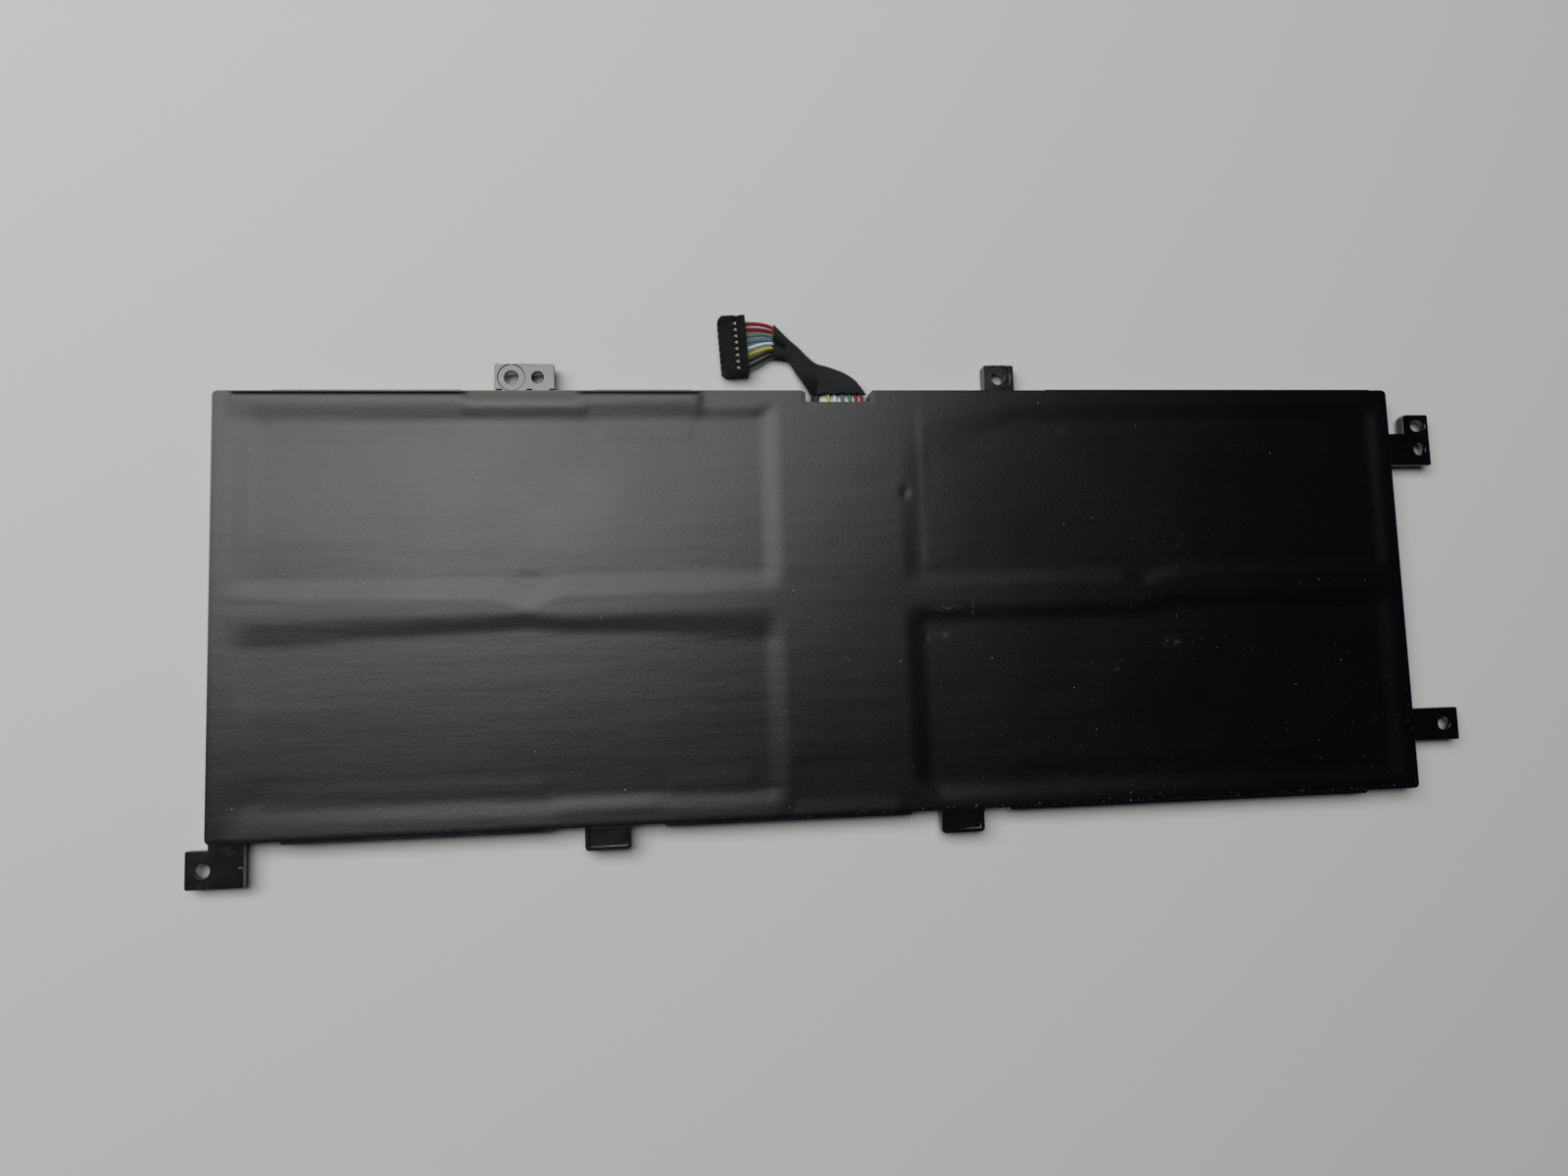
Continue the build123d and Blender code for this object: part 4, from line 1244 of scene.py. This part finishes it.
@dataclass
class CableSleeve:
    """The cloth sleeve round the wires: wide and flat at the pack, drawn in later and open at both ends."""

    ribs: tuple[SleeveRib, ...] = (
        SleeveRib((-5.9, 47.6), (7.2, 47.7), 2.9, 1.9),
        SleeveRib((-6.7, 49.2), (6.0, 49.6), 2.75, 2.1),
        SleeveRib((-7.5, 50.7), (4.5, 51.5), 2.45, 2.4),
        SleeveRib((-8.3, 52.1), (2.0, 53.2), 2.1, 2.7),
        SleeveRib((-9.0, 53.3), (-1.3, 54.5), 1.85, 2.8),
        SleeveRib((-9.6, 54.4), (-4.0, 55.3), 1.7, 2.85),
        SleeveRib((-10.2, 55.4), (-6.1, 57.0), 1.62, 2.85),
        SleeveRib((-11.0, 56.3), (-8.2, 59.2), 1.65, 2.85),
        SleeveRib((-12.4, 56.6), (-10.8, 61.5), 1.75, 2.8),
        SleeveRib((-14.7, 56.9), (-13.8, 64.7), 1.85, 2.7),
    )
    wall: float = 0.22
    around: int = 150
    along: int = 160
    squareness: float = 2.6
    threads_per_mm: float = 2.6

    def build(self, material: bpy.types.Material) -> bpy.types.Object:
        """Makes the sleeve as a closed cloth tube with a thin wall.

        Args:
            material: The cloth.

        Returns:
            The sleeve.
        """
        outer, inner = self.skins()
        points = np.concatenate([outer.reshape(-1, 3), inner.reshape(-1, 3)]) * MM
        count = self.along * self.around
        number = np.arange(count).reshape(self.along, self.around)
        following = np.roll(number, -1, axis=1)
        skin = np.stack([number[:-1], following[:-1], following[1:], number[1:]], -1).reshape(-1, 4)
        lining = skin[:, ::-1] + count
        first = np.stack([number[0], number[0] + count, following[0] + count, following[0]], -1)
        last = np.stack([number[-1], following[-1], following[-1] + count, number[-1] + count], -1)
        mesh = bpy.data.meshes.new("cloth_sleeve")
        mesh.from_pydata(points.tolist(), [], np.concatenate([skin, lining, first, last]).tolist())
        self.chart(mesh, count)
        # Painted shade for the cloth: how dark each point is made in the sleeve's folds.
        mark_points(mesh, "painted_fold_shade", np.tile(self.fold_shade_amount().ravel(), 2))
        turn_faces_outwards(mesh)
        mesh.shade_smooth()
        return add_piece("cloth_sleeve", mesh, material, ["cable_sleeve"])

    def turns(self) -> np.ndarray:
        """The angles of the points round the sleeve."""
        return np.linspace(0.0, math.tau, self.around, endpoint=False)

    def squared(self, wave: np.ndarray) -> np.ndarray:
        """A sine or cosine pushed outwards, so that the section is a rounded oblong."""
        return np.sign(wave) * np.abs(wave) ** (2 / self.squareness)

    def skins(self) -> tuple[np.ndarray, np.ndarray]:
        """The points of the outer and the inner face, ring by ring from the pack to the plug."""
        turns = self.turns()
        rows = [self.ragged_ends(turns, row / (self.along - 1)) for row in range(self.along)]
        outer = np.stack([self.ring(turns, shares, 0.0) for shares in rows])
        inner = np.stack([self.ring(turns, shares, self.wall) for shares in rows])
        return outer, inner

    def fray_roots(self, material: bpy.types.Material) -> PointScatter:
        """Loose threads that stand out of both ends of the sleeve.

        Args:
            material: The threads' material.

        Returns:
            The scatter, ready to be run.
        """
        outer, inner = self.skins()
        middle = (outer + inner) / 2
        roots = np.concatenate([middle[0], middle[-1]]) * MM
        outwards = np.concatenate([middle[0] - middle[6], middle[-1] - middle[-7]])
        lengths = np.linalg.norm(outwards, axis=1, keepdims=True)
        spacing = np.concatenate([np.linalg.norm(ring - np.roll(ring, 1, axis=0), axis=1)
                                  for ring in (middle[0], middle[-1])])
        return PointScatter("frayed_threads", ScatterForm.THREAD, roots, outwards / np.maximum(lengths, 1e-9),
                            self.threads_per_mm * spacing, material)

    @staticmethod
    def ragged_ends(turns: np.ndarray, share: float) -> np.ndarray:
        """Shifts the places along the sleeve near its ends, so that both ends are cut unevenly."""
        saw = 0.5 + 0.5 * np.sin(17 * turns + 1.7 * np.sin(5 * turns))
        tooth = 0.5 + 0.5 * np.sin(13 * turns + 2.0 * np.sin(3 * turns))
        first = 0.026 * saw * max(0.0, 1.0 - share / 0.12)
        last = 0.020 * tooth * max(0.0, (share - 0.9) / 0.1)
        return np.clip(share + first - last, 0.0, 1.0)

    def ring(self, turns: np.ndarray, shares: np.ndarray, inset: float) -> np.ndarray:
        """One ring of points round the sleeve.

        Args:
            turns: Angles round it.
            shares: The place along it of each point.
            inset: How far inside the outer face the ring lies.

        Returns:
            The points, in millimetres.
        """
        table = np.array([[*rib.left, *rib.right, rib.level, rib.thickness] for rib in self.ribs])
        values = catmull(table, shares)
        left, right, level, thickness = values[:, 0:2], values[:, 2:4], values[:, 4], values[:, 5]
        middle, half = (left + right) / 2, (right - left) / 2
        width = np.linalg.norm(half, axis=1)
        flat = self.squared(np.cos(turns))
        tall = self.squared(np.sin(turns))
        swell = np.where(tall > 0, self.folds(flat, shares) * tall, 0.0)
        level_points = middle + half * (flat * (width - inset) / width)[:, None]
        return np.column_stack([level_points, level + tall * (thickness / 2 - inset) + swell])

    @staticmethod
    def lap_line(share: np.ndarray) -> np.ndarray:
        """Where across the sleeve its overlapping edge lies, at places along it."""
        return np.interp(share, (0.0, 0.22, 0.34, 0.5), (-0.84, -0.44, -0.56, -1.0))

    @staticmethod
    def folds(flat: np.ndarray, share: np.ndarray) -> np.ndarray:
        """The height of the folds in the sleeve's upper side.

        Args:
            flat: Places across the sleeve, from -1 at its left edge to 1 at its right.
            share: Places along it.

        Returns:
            Heights in millimetres.
        """
        overlap = 0.42 * smoothstep((flat - CableSleeve.lap_line(share)) / 0.07) * bell((share - 0.12) / 0.24)
        overlap -= 0.12 * bell((share - 0.1) / 0.2)
        crease = 0.20 * bell((flat - 0.30 + 0.7 * (share - 0.62)) / 0.15) * bell((share - 0.64) / 0.20)
        cross_fold = 0.14 * bell((share - 0.42 - 0.10 * flat) / 0.045)
        flap = 0.16 * smoothstep((flat - 0.30) / 0.08) * smoothstep((share - 0.76) / 0.10)
        hollow = -0.46 * bell((flat - 0.04) / 0.24) * smoothstep((share - 0.845) / 0.04)
        lip = 0.20 * bell((flat - 0.22) / 0.13) * bell((share - 0.835) / 0.028)
        ripple = 0.05 * np.sin(38 * share + 3 * flat) * bell((share - 0.5) / 0.25)
        return overlap + crease + cross_fold + flap + hollow + lip + ripple

    def fold_shade_amount(self) -> np.ndarray:
        """How much painted shade each point of the upper side gets in the sleeve's folds, from 0 to 1, ring
        by ring: under the overlapping edge and in the hollow at the plug end.
        """
        turns = self.turns()
        flat = self.squared(np.cos(turns))
        share = np.linspace(0.0, 1.0, self.along)[:, None]
        under_lap = (1.0 - smoothstep((flat - self.lap_line(share)) / 0.06)) * bell((share - 0.10) / 0.24)
        hollow = bell((flat - 0.02) / 0.28) * smoothstep((share - 0.85) / 0.04)
        return np.where(np.sin(turns) > 0, np.maximum(0.75 * under_lap, 0.95 * hollow), 0.0)

    def chart(self, mesh: bpy.types.Mesh, count: int) -> None:
        """Gives the cloth a map: X round the sleeve and Y along it."""
        layer = mesh.uv_layers.new(name="cloth")
        for polygon in mesh.polygons:
            rings = [mesh.loops[loop].vertex_index % count for loop in polygon.loop_indices]
            columns = [ring % self.around for ring in rings]
            wraps = max(columns) - min(columns) > self.around // 2
            for loop, ring, column in zip(polygon.loop_indices, rings, columns):
                turn = column + (self.around if wraps and column < self.around // 2 else 0)
                layer.data[loop].uv = (turn / self.around, (ring // self.around) / (self.along - 1))


def standing(place: Point, right: Vector, up: Vector, back: Vector) -> Matrix:
    """The matrix of a lamp or camera at a place, which looks away from its back."""
    turn = Matrix((right, up, back)).transposed().to_4x4()
    return Matrix.Translation(Vector(place)) @ turn


@dataclass
class Studio:
    """The floor, the lamps and the camera."""

    floor_size: float = 4.0
    floor_level: float = -0.02 * MM
    floor_colour: Colour = (0.67, 0.67, 0.655)
    floor_roughness: float = 0.9
    floor_specular: float = 0.1
    world_level: float = 0.004
    lamp_place: Point = (-0.459, 0.472, 1.15)
    lamp_size: tuple[float, float] = (1.778, 0.984)
    lamp_power: float = 16.0
    core_place: Point = (-0.241, 0.229, 1.15)
    core_size: tuple[float, float] = (0.434, 0.16)
    core_power: float = 0.89
    camera_place: Point = (-41.4 * MM, -18.88 * MM, 239.18 * MM)
    camera_right: Point = (0.9929, -0.0326, 0.1142)
    camera_up: Point = (0.0219, 0.9953, 0.0944)
    focal_pixels: float = 1074.0
    photo_width: float = 1600.0
    sensor: float = 36.0
    near_clip: float = 0.01

    def build(self) -> None:
        """Makes the stage."""
        scene = bpy.context.scene
        scene.view_settings.view_transform = "Standard"
        self.floor()
        self.world(scene)
        self.lamp("key_lamp", self.lamp_place, self.lamp_size, self.lamp_power)
        self.lamp("core_lamp", self.core_place, self.core_size, self.core_power)
        self.camera(scene)

    def floor(self) -> None:
        """A plain pale floor just under the pack."""
        half = self.floor_size / 2
        mesh = bpy.data.meshes.new("floor")
        corners = [(-half, -half), (half, -half), (half, half), (-half, half)]
        mesh.from_pydata([(x, y, self.floor_level) for x, y in corners], [], [(0, 1, 2, 3)])
        material = bpy.data.materials.new("floor")
        material.use_nodes = True
        shader = material.node_tree.nodes["Principled BSDF"]
        shader.inputs["Base Color"].default_value = rgba(self.floor_colour)
        shader.inputs["Roughness"].default_value = self.floor_roughness
        shader.inputs["Specular IOR Level"].default_value = self.floor_specular
        mesh.materials.append(material)
        floor = bpy.data.objects.new("floor", mesh)
        bpy.context.scene.collection.objects.link(floor)

    def world(self, scene: bpy.types.Scene) -> None:
        """A dim even surround."""
        world = bpy.data.worlds.new("surround")
        world.use_nodes = True
        background = world.node_tree.nodes["Background"]
        background.inputs["Color"].default_value = (1.0, 1.0, 1.0, 1.0)
        background.inputs["Strength"].default_value = self.world_level
        scene.world = world

    @staticmethod
    def lamp(name: str, place: Point, size: tuple[float, float], power: float) -> None:
        """A soft oval lamp aimed at the pack."""
        light = bpy.data.lights.new(name, "AREA")
        light.shape = "ELLIPSE"
        light.size, light.size_y = size
        light.energy = power
        lamp = bpy.data.objects.new(name, light)
        back = Vector(place).normalized()
        across = Vector((0.0, 1.0, 0.0)).cross(back).normalized()
        lamp.matrix_world = standing(place, across, back.cross(across), back)
        bpy.context.scene.collection.objects.link(lamp)

    def camera(self, scene: bpy.types.Scene) -> None:
        """The camera at the photograph's place."""
        data = bpy.data.cameras.new("camera")
        data.sensor_width = self.sensor
        data.lens = self.focal_pixels / self.photo_width * self.sensor
        data.clip_start = self.near_clip
        right, up = Vector(self.camera_right).normalized(), Vector(self.camera_up)
        back = right.cross(up).normalized()
        up = back.cross(right)
        camera = bpy.data.objects.new("camera", data)
        camera.matrix_world = standing(self.camera_place, right, up, back)
        scene.collection.objects.link(camera)
        scene.camera = camera


@dataclass
class Battery:
    """The whole pack, dressed piece by piece."""

    effects: SharedEffects = field(default_factory=SharedEffects)
    frame_edge: float = 0.09 * MM
    plug_edge: float = 0.04 * MM
    film: MattFilm = MattFilm("matt_black_film")
    frame_plastic: MouldedPlastic = MouldedPlastic(
        "black_frame_plastic", (0.0020, 0.0020, 0.0026), roughness=0.20, specular=0.95)
    plug_plastic: MouldedPlastic = MouldedPlastic(
        "black_plug_plastic", (0.0042, 0.0042, 0.0044), roughness=0.66, specular=0.13)
    burr: PlainSheet = PlainSheet("pale_burr", (0.42, 0.42, 0.40), 0.7)
    cloth: WovenCloth = WovenCloth("black_woven_cloth")
    thread: WireSkin = WireSkin("loose_thread", (0.024, 0.025, 0.026), 0.6)
    tape: PlainSheet = PlainSheet("pale_tape", (0.80, 0.80, 0.78), 0.50)

    def dress_node(self, node: str, material: bpy.types.Material) -> None:
        """Gives a solid that stays as it is its material."""
        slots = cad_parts[node].data.materials
        slots.clear()
        slots.append(material)

    def build(self) -> None:
        """Builds every piece and dresses every solid."""
        self.build_films()
        plastic = self.frame_plastic.material(self.effects)
        frame_mesh = softened_copy("frame", self.frame_edge)
        add_piece("moulded_frame", frame_mesh, plastic, ["frame"])
        plug_plastic = self.plug_plastic.material(self.effects)
        plug_mesh = softened_copy("plug_housing", self.plug_edge)
        plug = add_piece("plug_body", plug_mesh, plug_plastic, ["plug_housing"])
        self.build_lead()
        LeadTape().build(self.tape.material(self.effects))
        self.dress_inside()

    def build_films(self) -> None:
        """Builds the upper film with the burrs on its edge, and dresses the lower one."""
        material = self.film.material(self.effects)
        upper_film = UpperFilm()
        upper_film.build(material)
        burr = self.burr.material(self.effects)
        add_piece("edge_flakes", upper_film.edge_flakes(burr).mesh(), burr)
        self.dress_node("bottom_film", material)

    def build_lead(self) -> None:
        """Builds the wires and their sleeve, with loose threads at the sleeve's ends.
        """
        lead = WireLead()
        wires = lead.build(self.effects)
        cable_sleeve = CableSleeve()
        sleeve = cable_sleeve.build(self.cloth.material(self.effects))
        thread = self.thread.material(self.effects)
        fray = add_piece("frayed_threads", cable_sleeve.fray_roots(thread).mesh(), thread)
        lead.declare(wires)

    def dress_inside(self) -> None:
        """Dresses the pieces inside the pack and the plug's terminals."""
        finishes = {
            ThinMetal("pouch_foil", (0.66, 0.67, 0.69), 0.38): (
                "cell_upper_left", "cell_lower_left", "cell_upper_right", "cell_lower_right"),
            ThinMetal("aluminium_strip", (0.78, 0.79, 0.80)): ("aluminium_tabs",),
            ThinMetal("nickel_strip", (0.60, 0.58, 0.54)): ("nickel_tabs", "weld_plates", "sense_resistor"),
            ThinMetal("tinned_metal", (0.78, 0.77, 0.74), 0.22): ("wire_pads",),
            ThinMetal("contact_metal", (0.25, 0.245, 0.235), 0.48): ("plug_contacts",),
            PlainSheet("amber_tape", (0.55, 0.33, 0.05), 0.30): ("tab_tapes",),
            PlainSheet("clear_tape", (0.70, 0.70, 0.68), 0.40): ("cell_tapes",),
            PlainSheet("board_mask", (0.015, 0.12, 0.05), 0.35): ("circuit_board",),
            PlainSheet("chip_moulding", (0.018, 0.018, 0.019), 0.50): (
                "gauge_chip", "switch_transistors", "chemical_fuse"),
            PlainSheet("chip_ceramic", (0.42, 0.30, 0.19), 0.45): ("capacitors",),
            PlainSheet("bead_glass", (0.16, 0.06, 0.03), 0.20): ("thermistor",),
            PlainSheet("insulating_paper", (0.62, 0.60, 0.52), 0.75, 900.0): ("board_cover_sheet",),
        }
        for finish, nodes in finishes.items():
            material = finish.material(self.effects)
            for node in nodes:
                self.dress_node(node, material)
                log.info("%s: %s", node, finish.name)


def main() -> None:
    """Builds the stage and the battery."""
    logging.basicConfig(level=logging.INFO, format="%(name)s: %(message)s")
    Studio().build()
    Battery().build()


if __name__ == "__main__":
    main()
